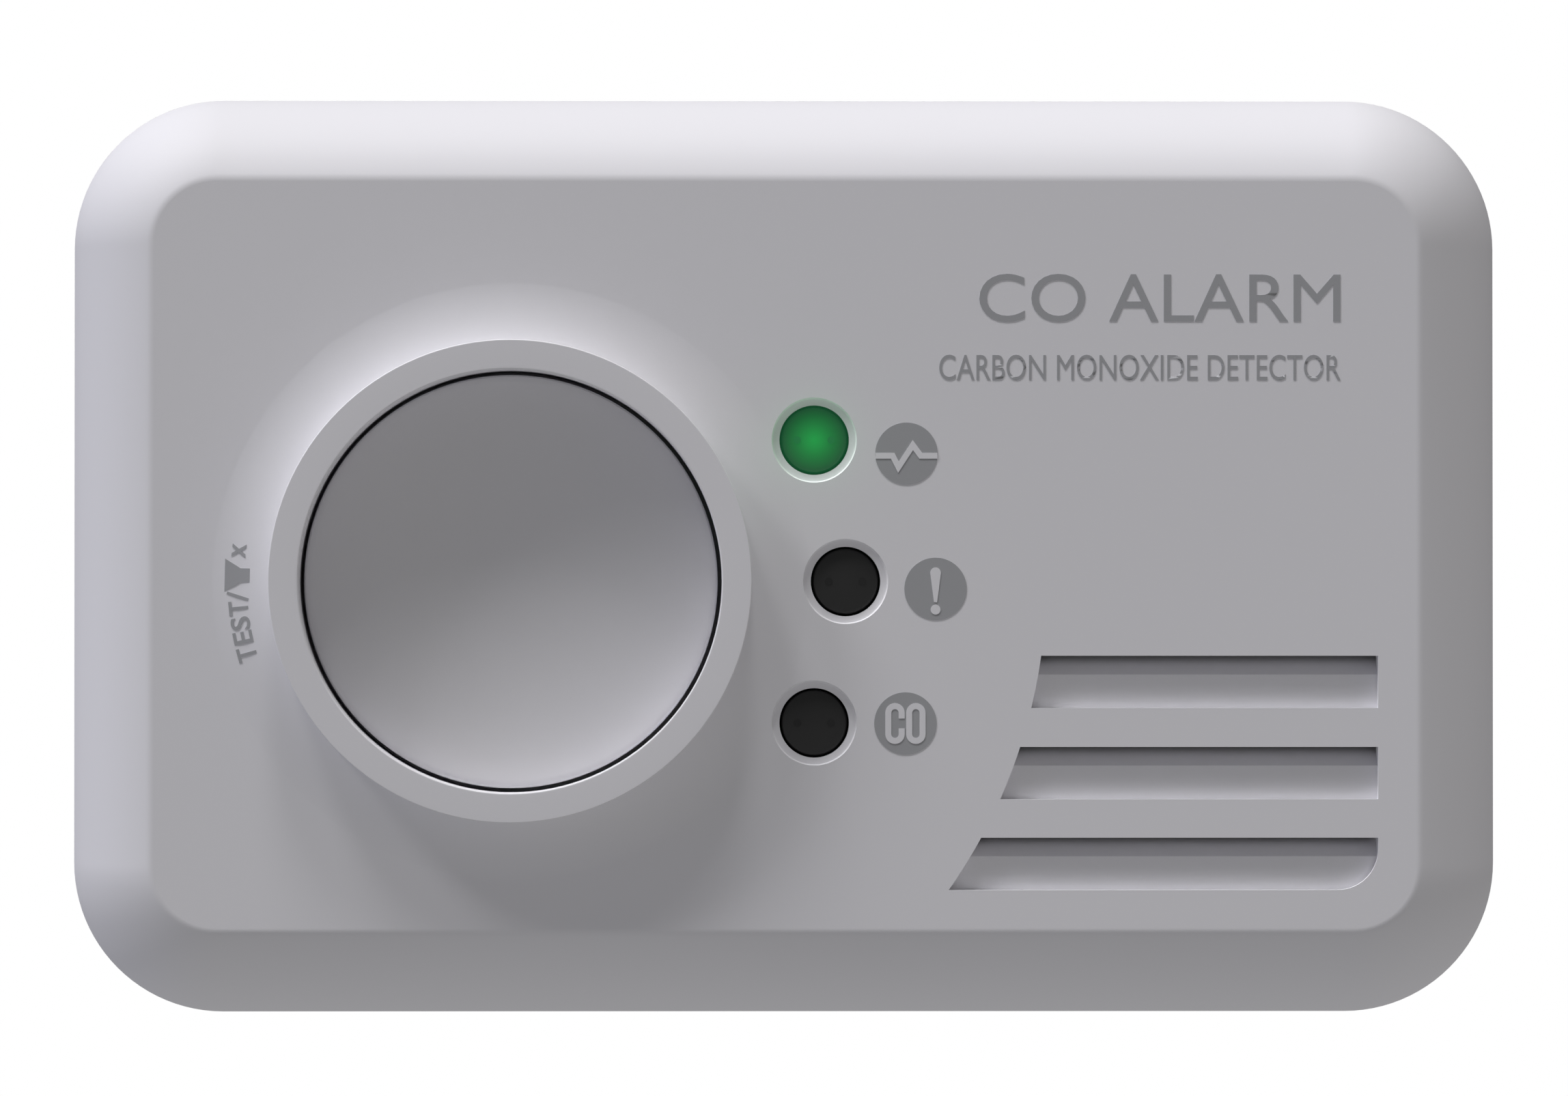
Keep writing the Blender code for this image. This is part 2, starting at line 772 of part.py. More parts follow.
def make_test_button(axis):
    """A dished cap with a skirt, a flange that keeps it behind the collar, and a stem for the switch."""
    radius = BUTTON_HOLE_RADIUS - GAP
    dish_radius = radius - BUTTON_RIM
    dish_steps = 5
    floor_z = BUTTON_TOP_Z - DISH_DEPTH
    inner_top_z = floor_z - BUTTON_WALL
    skirt_radius = radius - BUTTON_WALL
    flange_top_z = COLLAR_Z - GAP
    flange_z = flange_top_z - BUTTON_WALL
    profile = [
        (dish_radius * step / dish_steps, floor_z + DISH_DEPTH * (step / dish_steps) ** 2)
        for step in range(dish_steps + 1)
    ]
    profile += [
        (radius - BUTTON_RIM / 3, BUTTON_TOP_Z),
        (radius, BUTTON_TOP_Z - BUTTON_RIM / 2),
        (radius, flange_top_z),
        (COLLAR_RADIUS - GAP, flange_top_z),
        (COLLAR_RADIUS - GAP, flange_z),
        (skirt_radius, flange_z),
        (skirt_radius, inner_top_z),
        (STEM_RADIUS, inner_top_z),
        (STEM_RADIUS, PLUNGER_TOP_Z + PLAY),
        (0.0, PLUNGER_TOP_Z + PLAY),
    ]
    button = turned(profile, BUTTON_X, BUTTON_Y, steps=48)
    return finish(button, "test_button", white_plastic(), axis)


def make_button_spring():
    """The coil between the board and the button, around the switch."""
    bottom = PARTS_Z + SPRING_WIRE / 2
    top = BUTTON_TOP_Z - DISH_DEPTH - BUTTON_WALL - GAP - SPRING_WIRE / 2
    steps_per_turn = 14
    count = int(SPRING_TURNS * steps_per_turn)
    points = []
    for step in range(count + 1):
        share = step / count
        angle = 2 * math.pi * SPRING_TURNS * share
        # the first and last three quarters of a turn lie flat
        rise = min(max((share * SPRING_TURNS - 0.75) / (SPRING_TURNS - 1.5), 0.0), 1.0)
        flat_pitch = SPRING_WIRE * 1.2 * min(share * SPRING_TURNS, 0.75) / 0.75
        last_pitch = SPRING_WIRE * 1.2 * max(share * SPRING_TURNS - SPRING_TURNS + 0.75, 0.0) / 0.75
        z = bottom + flat_pitch + last_pitch + rise * (top - bottom - 2.4 * SPRING_WIRE)
        x = BUTTON_X + SPRING_RADIUS * math.cos(angle)
        y = BUTTON_Y + SPRING_RADIUS * math.sin(angle)
        points.append((x, y, z))
    spring = wire(points, SPRING_WIRE)
    smooth(spring)
    return finish(spring, "button_spring", steel(), STAND_UP)


def make_tact_switch():
    half = SWITCH_SIZE / 2
    top_z = PARTS_Z + SWITCH_HEIGHT
    body = box((BUTTON_X - half, BUTTON_X + half), (BUTTON_Y - half, BUTTON_Y + half), (PARTS_Z, top_z))
    cut(body, cylinder(PLUNGER_RADIUS + GAP, BUTTON_X, BUTTON_Y, (top_z - WALL, top_z + WALL), steps=20))
    return finish(body, "tact_switch_body", switch_plastic(), STAND_UP)


def make_switch_plunger(axis):
    """The plunger stands in the switch, with room below it for its stroke."""
    bottom = PARTS_Z + SWITCH_HEIGHT - WALL / 2
    plunger = cylinder(PLUNGER_RADIUS, BUTTON_X, BUTTON_Y, (bottom, PLUNGER_TOP_Z), steps=20)
    return finish(plunger, "tact_switch_plunger", switch_plastic(), axis)


# ---- circuit board and what it carries ----------------------------------------------------------------


def make_main_board():
    board = flat(
        rounded_rectangle(BOARD_HALF_WIDTH, BOARD_HALF_HEIGHT, 0.0020, steps=3),
        BOARD_Z,
        BOARD_TOP_Z,
    )
    below = BOARD_Z - WALL
    above = BOARD_TOP_Z + WALL
    for x, y in BOARD_SCREWS:
        cut(board, cylinder(BOARD_SCREW_RADIUS + GAP, x, y, (below, above), steps=12))
    for x, y in light_places():
        for side in (-1, 1):
            hole_x = x + side * LEAD_PITCH / 2
            cut(board, cylinder(LEAD_SIZE / 2 + 1.5 * GAP, hole_x, y, (below, above), steps=8))
    for y in CELL_Y:
        cut(board, tab_slot(y, below, above))
    return finish(board, "main_pcb", board_green(), STAND_UP)


def make_light(name, x, y, look):
    """A 5 mm flat-topped light: round body with a flange, on two square leads."""
    profile = [
        (0.0, LED_TOP_Z),
        (LED_RADIUS - LED_EDGE, LED_TOP_Z),
        (LED_RADIUS, LED_TOP_Z - LED_EDGE),
        (LED_RADIUS, LED_BASE_Z + LED_FLANGE),
        (LED_FLANGE_RADIUS, LED_BASE_Z + LED_FLANGE),
        (LED_FLANGE_RADIUS, LED_BASE_Z),
        (0.0, LED_BASE_Z),
    ]
    light = turned(profile, x, y, steps=20)
    half = LEAD_SIZE / 2
    for side in (-1, 1):
        lead_x = x + side * LEAD_PITCH / 2
        lead = box(
            (lead_x - half, lead_x + half),
            (y - half, y + half),
            (LEAD_END_Z, LED_BASE_Z + LED_FLANGE / 2),
        )
        join(light, lead)
    return finish(light, name, look, STAND_UP)


def make_gas_sensor():
    """The electrochemical cell: a steel can, and a plastic cap with the gas inlet."""
    shoulder = 0.0006
    top = PARTS_Z + SENSOR_HEIGHT
    profile = [
        (0.0, top),
        (SENSOR_RADIUS - shoulder, top),
        (SENSOR_RADIUS, top - shoulder),
        (SENSOR_RADIUS, PARTS_Z),
        (0.0, PARTS_Z),
    ]
    can = turned(profile, SENSOR_X, SENSOR_Y, steps=32)
    finish(can, "co_sensor_can", steel(), STAND_UP)
    cap_radius = 0.0060
    inlet_radius = 0.0012
    cap_z = top + GAP
    cap_profile = [
        (inlet_radius, cap_z + 0.0012),
        (cap_radius - shoulder, cap_z + 0.0012),
        (cap_radius, cap_z + shoulder),
        (cap_radius, cap_z),
        (inlet_radius, cap_z),
    ]
    cap = turned(cap_profile, SENSOR_X, SENSOR_Y, steps=24)
    finish(cap, "co_sensor_cap", sounder_plastic(), STAND_UP)


def make_sounder():
    """The sounder: a base that seats the piezo disc, and a resonator cap with its outlet."""
    wall = 0.0010
    base_top = PARTS_Z + SOUNDER_BASE_HEIGHT
    seat_radius = SOUNDER_RADIUS - 2 * wall
    disc_radius = SOUNDER_RADIUS - wall - GAP
    base_profile = [
        (disc_radius + GAP, base_top),
        (SOUNDER_RADIUS, base_top),
        (SOUNDER_RADIUS, PARTS_Z),
        (seat_radius, PARTS_Z),
        (seat_radius, base_top - wall),
        (disc_radius + GAP, base_top - wall),
    ]
    base = turned(base_profile, SOUNDER_X, SOUNDER_Y, steps=32)
    finish(base, "sounder_base", sounder_plastic(), STAND_UP)

    disc_z = base_top - wall + GAP
    disc_thickness = 0.0003
    disc = cylinder(disc_radius, SOUNDER_X, SOUNDER_Y, (disc_z, disc_z + disc_thickness), steps=32)
    finish(disc, "piezo_disc", brass(), STAND_UP)

    element_z = disc_z - GAP
    element = cylinder(
        seat_radius * 0.8, SOUNDER_X, SOUNDER_Y, (element_z - disc_thickness, element_z), steps=24
    )
    finish(element, "piezo_element", piezo_ceramic(), STAND_UP)

    cap_bottom = base_top + GAP
    cap_top = PARTS_Z + SOUNDER_HEIGHT
    cap_profile = [
        (SOUNDER_OUTLET_RADIUS, cap_top),
        (SOUNDER_RADIUS - wall / 2, cap_top),
        (SOUNDER_RADIUS, cap_top - wall / 2),
        (SOUNDER_RADIUS, cap_bottom),
        (SOUNDER_RADIUS - wall, cap_bottom),
        (SOUNDER_RADIUS - wall, cap_top - wall),
        (SOUNDER_OUTLET_RADIUS, cap_top - wall),
    ]
    cap = turned(cap_profile, SOUNDER_X, SOUNDER_Y, steps=32)
    finish(cap, "sounder_cap", sounder_plastic(), STAND_UP)


def make_controller():
    half = 0.0035
    x = -0.0050
    y = 0.0215
    chip = box((x - half, x + half), (y - half, y + half), (PARTS_Z, PARTS_Z + 0.0014))
    soften(chip, 0.0002)
    return finish(chip, "microcontroller", chip_epoxy(), STAND_UP)


def make_booster_coil():
    """The drum coil that steps the cells' voltage up for the sounder."""
    waist = 0.0032
    flange = 0.0042
    flange_thickness = 0.0008
    top = PARTS_Z + 0.0050
    profile = [
        (0.0, top),
        (flange, top),
        (flange, top - flange_thickness),
        (waist, top - flange_thickness),
        (waist, PARTS_Z + flange_thickness),
        (flange, PARTS_Z + flange_thickness),
        (flange, PARTS_Z),
        (0.0, PARTS_Z),
    ]
    return finish(turned(profile, 0.0120, -0.0100, steps=20), "booster_coil", copper_winding(), STAND_UP)


def make_storage_capacitor():
    """A small electrolytic can with a rolled groove near its foot."""
    radius = 0.0032
    groove = 0.0004
    groove_z = PARTS_Z + 0.0012
    top = PARTS_Z + 0.0064
    profile = [
        (0.0, top),
        (radius - groove, top),
        (radius, top - groove),
        (radius, groove_z + groove),
        (radius - groove, groove_z),
        (radius, groove_z - groove),
        (radius, PARTS_Z),
        (0.0, PARTS_Z),
    ]
    return finish(turned(profile, 0.0080, 0.0190, steps=20), "storage_capacitor", cell_jacket(), STAND_UP)


# ---- cells and contacts -------------------------------------------------------------------------------


def positive_end_x():
    """Where a cell's positive end stands, from the bay's middle."""
    return BAY_HALF_LENGTH - 2 * GAP - CONTACT_THICKNESS - BUMP_HEIGHT


def make_cell(name, y, side):
    """One AA cell with its positive end on this side."""
    tip = positive_end_x()
    shoulder = 0.0008
    profile = [
        (0.0, tip),
        (CELL_NUB_RADIUS, tip),
        (CELL_NUB_RADIUS, tip - CELL_NUB),
        (CELL_RADIUS - shoulder, tip - CELL_NUB),
        (CELL_RADIUS, tip - CELL_NUB - shoulder),
        (CELL_RADIUS, tip - CELL_LENGTH + shoulder),
        (CELL_RADIUS - shoulder, tip - CELL_LENGTH),
        (0.0, tip - CELL_LENGTH),
    ]
    cell = turned(profile, 0.0, 0.0, steps=28)
    cell.location = (0.0, y, CELL_Z)
    cell.rotation_euler = (0.0, side * math.pi / 2, 0.0)
    return finish(cell, name, cell_jacket(), STAND_UP)


def cell_spring(y, side):
    """The cone of spring wire that presses on a cell's flat end."""
    plate_x = BAY_HALF_LENGTH - GAP - CONTACT_THICKNESS / 2
    cell_x = CELL_LENGTH - positive_end_x() + GAP
    steps_per_turn = 12
    count = int(CELL_SPRING_TURNS * steps_per_turn)
    wide = 0.0036
    narrow = 0.0018
    points = []
    for step in range(count + 1):
        share = step / count
        angle = 2 * math.pi * CELL_SPRING_TURNS * share
        radius = wide + (narrow - wide) * share
        x = plate_x + (cell_x + CELL_SPRING_WIRE / 2 - plate_x) * share
        points.append((side * x, y + radius * math.cos(angle), CELL_Z + radius * math.sin(angle)))
    return wire(points, CELL_SPRING_WIRE)


def contact_plate(y_low, y_high, side):
    """A flat contact against one end of the bay."""
    outer = BAY_HALF_LENGTH - GAP
    ends = sorted((side * outer, side * (outer - CONTACT_THICKNESS)))
    return box(ends, (y_low, y_high), (CELL_Z - CONTACT_HALF_WIDTH, CELL_Z + CONTACT_HALF_WIDTH))


def contact_bump(y, side):
    """The raised button that meets a cell's positive nub."""
    inner = BAY_HALF_LENGTH - GAP - CONTACT_THICKNESS / 2
    tip = positive_end_x() + GAP
    ends = sorted((side * inner, side * tip))
    return cylinder(0.0022, y, CELL_Z, ends, steps=16, axis="X")


def contact_tab(y, side):
    """The solder tab that carries a contact through the bay's floor to the board."""
    outer = BAY_HALF_LENGTH - GAP
    ends = sorted((side * outer, side * (outer - CONTACT_THICKNESS)))
    return box(ends, (y - TAB_HALF_WIDTH, y + TAB_HALF_WIDTH), (CELL_Z + CONTACT_HALF_WIDTH / 2, TAB_END_Z))


def make_contacts():
    """The upper cell's positive end is on the right and the lower cell's on the left, with a bridge there."""
    upper, lower = CELL_Y
    half = CONTACT_HALF_WIDTH
    positive = contact_plate(upper - half, upper + half, 1)
    join(positive, contact_bump(upper, 1), contact_tab(upper, 1))
    finish(positive, "battery_contact_positive", steel(), STAND_UP)

    negative = contact_plate(lower - half, lower + half, 1)
    join(negative, cell_spring(lower, 1), contact_tab(lower, 1))
    finish(negative, "battery_contact_negative", steel(), STAND_UP)

    bridge = contact_plate(lower - half, upper + half, -1)
    join(bridge, cell_spring(upper, -1), contact_bump(lower, -1))
    finish(bridge, "battery_contact_bridge", steel(), STAND_UP)


# ---- fixings and label --------------------------------------------------------------------------------


def make_screw(name, x, y, head, head_radius, seat_z, radius, end_z):
    """A pan-head screw with a cross recess, its head towards the back."""
    tip = 0.0010
    rounding = head / 3
    profile = [
        (0.0, end_z),
        (radius * 0.4, end_z - tip / 4),
        (radius, end_z - tip),
        (radius, seat_z),
        (head_radius, seat_z),
        (head_radius, seat_z - head + rounding),
        (head_radius - rounding, seat_z - head),
        (0.0, seat_z - head),
    ]
    screw = turned(profile, x, y, steps=16)
    slot_half_length = head_radius * 0.62
    slot_half_width = head_radius * 0.13
    slot_depth = (seat_z - 2 * head, seat_z - head / 2)
    for half_x, half_y in ((slot_half_length, slot_half_width), (slot_half_width, slot_half_length)):
        cut(screw, box((x - half_x, x + half_x), (y - half_y, y + half_y), slot_depth))
    return finish(screw, name, steel(), STAND_UP)


def make_screws():
    for number, (x, y) in enumerate(case_screw_places(), start=1):
        name = f"case_screw_{number}"
        make_screw(name, x, y, SCREW_HEAD, SCREW_HEAD_RADIUS, SCREW_SEAT_Z, SCREW_RADIUS, SCREW_END_Z)
    for number, (x, y) in enumerate(BOARD_SCREWS, start=1):
        make_screw(
            f"pcb_screw_{number}",
            x,
            y,
            BOARD_SCREW_HEAD,
            BOARD_SCREW_HEAD_RADIUS,
            BOARD_Z - GAP,
            BOARD_SCREW_RADIUS,
            BOARD_SCREW_END_Z,
        )


def make_label():
    half_width = LABEL_WIDTH / 2
    half_height = LABEL_HEIGHT / 2
    outline = rounded_rectangle(half_width, half_height, 0.0010, steps=3, centre=(0.0, LABEL_Y))
    return finish(flat(outline, 0.0, LABEL_THICKNESS), "rating_label", label_paper(), STAND_UP)


# ---- assembly -----------------------------------------------------------------------------------------

clear_scene()
PARTS = new_collection("carbon_monoxide_alarm")
CUTTERS = new_collection("cutters")
STAND_UP = new_empty("stand_up", (0.0, BOSS_Z / 2, BODY_HEIGHT / 2))
STAND_UP.rotation_euler = (math.pi / 2, 0.0, 0.0)
BUTTON_AXIS = new_empty("button_axis", (BUTTON_X, BUTTON_Y, BUTTON_TOP_Z), STAND_UP)
PLUNGER_AXIS = new_empty("plunger_axis", (BUTTON_X, BUTTON_Y, PLUNGER_TOP_Z), STAND_UP)
DOOR_HINGE = new_empty("door_hinge", (0.0, HINGE_Y, HINGE_Z), STAND_UP)

make_front_cover()
make_rear_cover()
make_battery_door(DOOR_HINGE)
make_test_button(BUTTON_AXIS)
make_button_spring()
make_tact_switch()
make_switch_plunger(PLUNGER_AXIS)
make_main_board()
for light_name, (light_x, light_y), light_look in zip(
    ("power_led", "fault_led", "alarm_led"), light_places(), (led_green(), led_amber(), led_red())
):
    make_light(light_name, light_x, light_y, light_look)
make_gas_sensor()
make_sounder()
make_controller()
make_booster_coil()
make_storage_capacitor()
make_cell("battery_upper", CELL_Y[0], 1)
make_cell("battery_lower", CELL_Y[1], -1)
make_contacts()
make_screws()
make_label()
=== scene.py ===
import math

import bmesh
import bpy
from mathutils import Matrix, Vector


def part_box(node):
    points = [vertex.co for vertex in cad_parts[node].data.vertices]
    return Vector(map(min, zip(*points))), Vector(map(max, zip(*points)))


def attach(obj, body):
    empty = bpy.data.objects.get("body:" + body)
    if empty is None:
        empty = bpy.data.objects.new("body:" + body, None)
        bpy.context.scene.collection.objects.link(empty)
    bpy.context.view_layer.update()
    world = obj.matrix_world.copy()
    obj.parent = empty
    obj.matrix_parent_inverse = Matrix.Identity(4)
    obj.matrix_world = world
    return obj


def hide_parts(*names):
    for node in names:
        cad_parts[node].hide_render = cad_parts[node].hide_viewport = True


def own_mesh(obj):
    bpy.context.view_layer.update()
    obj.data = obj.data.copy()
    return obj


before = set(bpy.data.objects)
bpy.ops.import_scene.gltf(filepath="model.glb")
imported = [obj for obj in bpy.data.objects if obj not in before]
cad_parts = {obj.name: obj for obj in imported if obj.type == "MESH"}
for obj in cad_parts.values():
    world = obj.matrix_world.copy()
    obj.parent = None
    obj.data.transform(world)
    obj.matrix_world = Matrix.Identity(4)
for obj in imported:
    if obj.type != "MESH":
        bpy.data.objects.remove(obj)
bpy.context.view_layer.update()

# ---- places and sizes taken from the frame ----

FRONT_LOW, FRONT_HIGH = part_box("front_cover")
BACK_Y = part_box("rear_cover")[1].y
MID_Z = (FRONT_LOW.z + FRONT_HIGH.z) / 2
UPRIGHT = Matrix(((1, 0, 0, 0), (0, 0, -1, BACK_Y), (0, 1, 0, MID_Z), (0, 0, 0, 1)))


def local_box(node):
    """A CAD node's lowest and highest corner in the alarm's own frame."""
    low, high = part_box(node)
    return Vector((low.x, low.z - MID_Z, BACK_Y - high.y)), Vector((high.x, high.z - MID_Z, BACK_Y - low.y))


def local_middle(node):
    low, high = local_box(node)
    return (low + high) / 2


GAP = 0.0003  # running clearance between neighbouring pieces
MERGE = 0.00001  # a distance too small to matter
BODY_WIDTH = FRONT_HIGH.x - FRONT_LOW.x
BODY_HEIGHT = FRONT_HIGH.z - FRONT_LOW.z
BOSS_Z = local_box("front_cover")[1].z
SPLIT_Z = local_box("front_cover")[0].z
BUTTON_X, BUTTON_Y, _ = local_middle("test_button")
LIGHTS = ("power_led", "fault_led", "alarm_led")

# case
CORNER_RADIUS = 0.0113
WALL = 0.0020
BOSS_HEIGHT = 0.0029
FACE_Z = BOSS_Z - BOSS_HEIGHT  # the flat faceplate
RIM_INSET = 0.0063  # how far the rounded rim runs in to the faceplate
RIM_TILT = math.radians(22)  # slope of the rim where it meets the faceplate
RIM_RADIUS = RIM_INSET / (1 - math.sin(RIM_TILT))
RIM_START_Z = FACE_Z - RIM_RADIUS * math.cos(RIM_TILT)
CREASE = 0.0003  # the small rounding where the rim meets the faceplate
INNER_FACE_Z = FACE_Z - WALL
BACK_CHAMFER = 0.0010
CORNER_STEPS = 24
RIM_STEPS = 16

# test button and the boss around it
RING_RADIUS = 0.0180
FLARE_RADIUS = 0.0229
FLARE_HEIGHT = 0.0008
BUTTON_HOLE_RADIUS = 0.01575
COLLAR_RADIUS = 0.0170
COLLAR_Z = 0.0280
EDGE_ROUND = 0.0003
BUTTON_TOP_Z = local_box("test_button")[1].z
DISH_DEPTH = 0.0006
BUTTON_RIM = 0.0006
BUTTON_WALL = 0.0013
STEM_RADIUS = 0.0026
STEM_END_Z = 0.0292
SPRING_RADIUS = 0.0066
SPRING_WIRE = 0.0006
SPRING_TURNS = 4.5
ROUND_STEPS = 128
ROUND_MIDDLE = 0.3  # where the middle point of a three-point rounding lies, as a share of its size

# status lights
LED_RADIUS = 0.00245
LED_FLANGE_RADIUS = 0.0029
LED_FLANGE = 0.0010
LED_EDGE = 0.0003
LED_HEIGHT = 0.0084
LED_HOLE_RADIUS = LED_RADIUS + GAP / 2
LED_SINK_RADIUS = 0.00318
LED_SINK_DEPTH = 0.0003
LED_SINK_CORNER = LED_SINK_DEPTH * 0.6
LEAD_PITCH = 0.00254
LEAD_SIZE = 0.0005
LEAD_END_RADIUS = 0.00028

# printed marks
INK = 0.00003  # how far the print stands above the plastic
ICON_RADIUS = 0.00233
ICON_OFFSETS = ((0.00689, -0.00102), (0.00672, -0.00055), (0.00681, -0.00004))  # from each light
MARKING_CIRCLE = 0.0204  # the word TEST and its signs follow this circle about the button's axis
MARKING_HEIGHT = 0.00148
MARKING_WEIGHT = 0.012  # how much bolder its letters are than the plain font
MITRE_LIMIT = 0.3
TITLE_HEIGHT = 0.0036
TITLE_WIDTH = 0.0270
TITLE_PLACE = (0.0280, 0.0192, FACE_Z)
LINE_HEIGHT = 0.0019
LINE_WIDTH = 0.0300
LINE_PLACE = (0.0265, 0.0140, FACE_Z)

# louvred vents
VENT_TOPS = (-0.00755, -0.01436, -0.02114)
VENT_HEIGHT = 0.0039
VENT_RIGHT_X = 0.0443
VENT_CIRCLE = 0.0400  # the vents' left ends follow a circle about the button's axis
LOUVRE_DEPTH = 0.0008  # the level part of each blade, below the face
LOUVRE_LEVEL = 0.0025
LOUVRE_HEAD_DEPTH = 0.0035
LOUVRE_THICKNESS = 0.0013
LOUVRE_REACH = 0.0005
VENT_CORNER = 0.0030

# battery bay, cells and door
BAY_HALF_LENGTH = 0.0290
BAY_LOW_Y = -0.0191
BAY_HIGH_Y = 0.0155
BAY_FLOOR_Z = 0.0174
BAY_WALL = 0.0012
RIB_HEIGHT = 0.0028
STOP_LENGTH = 0.0040
STOP_REACH = 0.0008
CELL_RADIUS = 0.00725
CELL_LENGTH = 0.0505
CELL_NUB_RADIUS = 0.00275
CELL_NUB = 0.0010
CELL_Z = 0.00985
CELL_Y = (0.0073, -0.0079)
DOOR_THICKNESS = 0.0018
HINGE_Y = -0.0168
HINGE_Z = 0.0020
BARREL_RADIUS = 0.0019
PEG_RADIUS = 0.0010
LATCH_WIDTH = 0.0100
LATCH_REACH = 0.0008
LATCH_SLIT = 0.0006
LATCH_LENGTH = 0.0075
CONTACT_THICKNESS = 0.0004
TAB_HALF_WIDTH = 0.0013
BUMP_HEIGHT = 0.0012

# fixings and label
CASE_SCREW_X = 0.0468
CASE_SCREW_Y = 0.0220
POST_RADIUS = 0.0030
SCREW_HEAD_RADIUS = 0.0025
SCREW_SEAT_Z = 0.0070
SCREW_HEAD = 0.0018
SCREW_RADIUS = 0.0013
SCREW_END_Z = 0.0205
BOARD_SCREWS = ((-0.0390, 0.0240), (0.0390, 0.0240), (-0.0390, -0.0240), (0.0030, -0.0245))
BOARD_POST_RADIUS = 0.0025
BOARD_POST_Z = 0.0223
BOARD_SCREW_RADIUS = 0.0010
BOARD_SCREW_END_Z = 0.0280
KEYHOLE_X = 0.0400
KEYHOLE_Y = 0.0030
KEYHOLE_RADIUS = 0.0042
KEYHOLE_SLOT_RADIUS = 0.0022
KEYHOLE_RISE = 0.0085
LABEL_WIDTH = 0.0600
LABEL_HEIGHT = 0.0105
LABEL_Y = 0.0250
LABEL_THICKNESS = 0.0002
LABEL_CORNER = 0.0010

# studio
WHITE = (1.0, 1.0, 1.0)
FLOOR_LIGHT = (0.368, 0.366, 0.368)
FLOOR_HALF = 3.0
FLOOR_TOP = -0.0002
FLOOR_THICKNESS = 0.0018
SKY_LIGHT = (0.155, 0.155, 0.158)
KEY_RISE = math.radians(11)  # how far the key lights stand in front of the object's top
KEY_TURNS = (0, 20, 40)  # degrees from overhead towards the left
KEY_COLOUR = (1.0, 0.99, 1.0)
KEY_STRENGTH = 1.09
KEY_SOFTNESS = math.radians(10)
LEFT_FILL_COLOUR = (0.2, 0.3, 1.0)
LEFT_FILL_STRENGTH = 0.25
RIGHT_FILL_COLOUR = (1.0, 0.88, 0.74)
RIGHT_FILL_STRENGTH = 0.30
FILL_SOFTNESS = math.radians(40)
GLOW_COLOUR = (0.1, 1.0, 0.25)
GLOW_POWER = 0.00006
GLOW_SIZE = 0.0015
GLOW_RISE = 0.0010
CAMERA_DISTANCE = 0.600
CAMERA_X = -0.006
CAMERA_Z = 0.028
CAMERA_AIM = (-0.0001, 0.0005, FACE_Z)
PICTURE_WIDTH = 0.1171  # how much of the faceplate's plane the picture spans

# ---- materials ----

GRAIN_DETAIL = 3.0
GRAIN_SPREAD = 0.08
GRAIN_STRENGTH = 0.25


def grained(name, colour, roughness, metallic=0.0, grain=4000.0, relief=0.00001):
    """A Principled material with a fine noise in its roughness and its surface."""
    found = bpy.data.materials.get(name)
    if found:
        return found
    made = bpy.data.materials.new(name)
    made.use_nodes = True
    nodes = made.node_tree.nodes
    links = made.node_tree.links
    shader = nodes["Principled BSDF"]
    shader.inputs["Base Color"].default_value = (*colour, 1.0)
    shader.inputs["Metallic"].default_value = metallic
    where = nodes.new("ShaderNodeTexCoord")
    noise = nodes.new("ShaderNodeTexNoise")
    noise.inputs["Scale"].default_value = grain
    noise.inputs["Detail"].default_value = GRAIN_DETAIL
    links.new(where.outputs["Object"], noise.inputs["Vector"])
    spread = nodes.new("ShaderNodeMapRange")
    spread.inputs["To Min"].default_value = roughness * (1 - GRAIN_SPREAD)
    spread.inputs["To Max"].default_value = roughness * (1 + GRAIN_SPREAD)
    links.new(noise.outputs["Fac"], spread.inputs["Value"])
    links.new(spread.outputs["Result"], shader.inputs["Roughness"])
    bump = nodes.new("ShaderNodeBump")
    bump.inputs["Strength"].default_value = GRAIN_STRENGTH
    bump.inputs["Distance"].default_value = relief
    links.new(noise.outputs["Fac"], bump.inputs["Height"])
    links.new(bump.outputs["Normal"], shader.inputs["Normal"])
    return made


def white_plastic():
    return grained("white_plastic_look", (0.795, 0.79, 0.82), 0.60)


def button_with_painted_shade():
    """The button's plastic is a touch greyer than the case: painted shade for the shadow that falls in its
    dish.
    """
    return grained("button_painted_shade_look", (0.70, 0.695, 0.72), 0.60)


def black_plastic():
    return grained("black_plastic_look", (0.03, 0.03, 0.03), 0.50)


def chip_epoxy():
    return grained("chip_epoxy_look", (0.03, 0.03, 0.035), 0.42)


def bright_steel():
    return grained("bright_steel_look", (0.62, 0.62, 0.60), 0.30, 1.0, grain=1500.0)


def screw_steel():
    return grained("screw_steel_look", (0.55, 0.56, 0.58), 0.32, 1.0, grain=2500.0)


def sensor_can():
    return grained("sensor_can_look", (0.70, 0.70, 0.69), 0.28, 1.0, grain=1200.0)


def brass_disc():
    return grained("brass_disc_look", (0.78, 0.60, 0.28), 0.32, 1.0, grain=1200.0)


def piezo_ceramic():
    return grained("piezo_ceramic_look", (0.80, 0.78, 0.70), 0.6)


def coil_copper():
    return grained("coil_copper_look", (0.60, 0.26, 0.11), 0.35, 0.9)


def capacitor_can():
    return grained("capacitor_can_look", (0.10, 0.13, 0.20), 0.35)


def circuit_board():
    return grained("circuit_board_look", (0.02, 0.15, 0.07), 0.40)


def label_paper():
    return grained("label_paper_look", (0.74, 0.74, 0.73), 0.55)


def print_ink():
    return grained("print_ink_look", (0.375, 0.380, 0.395), 0.60)


def label_ink():
    return grained("label_ink_look", (0.06, 0.06, 0.065), 0.60)


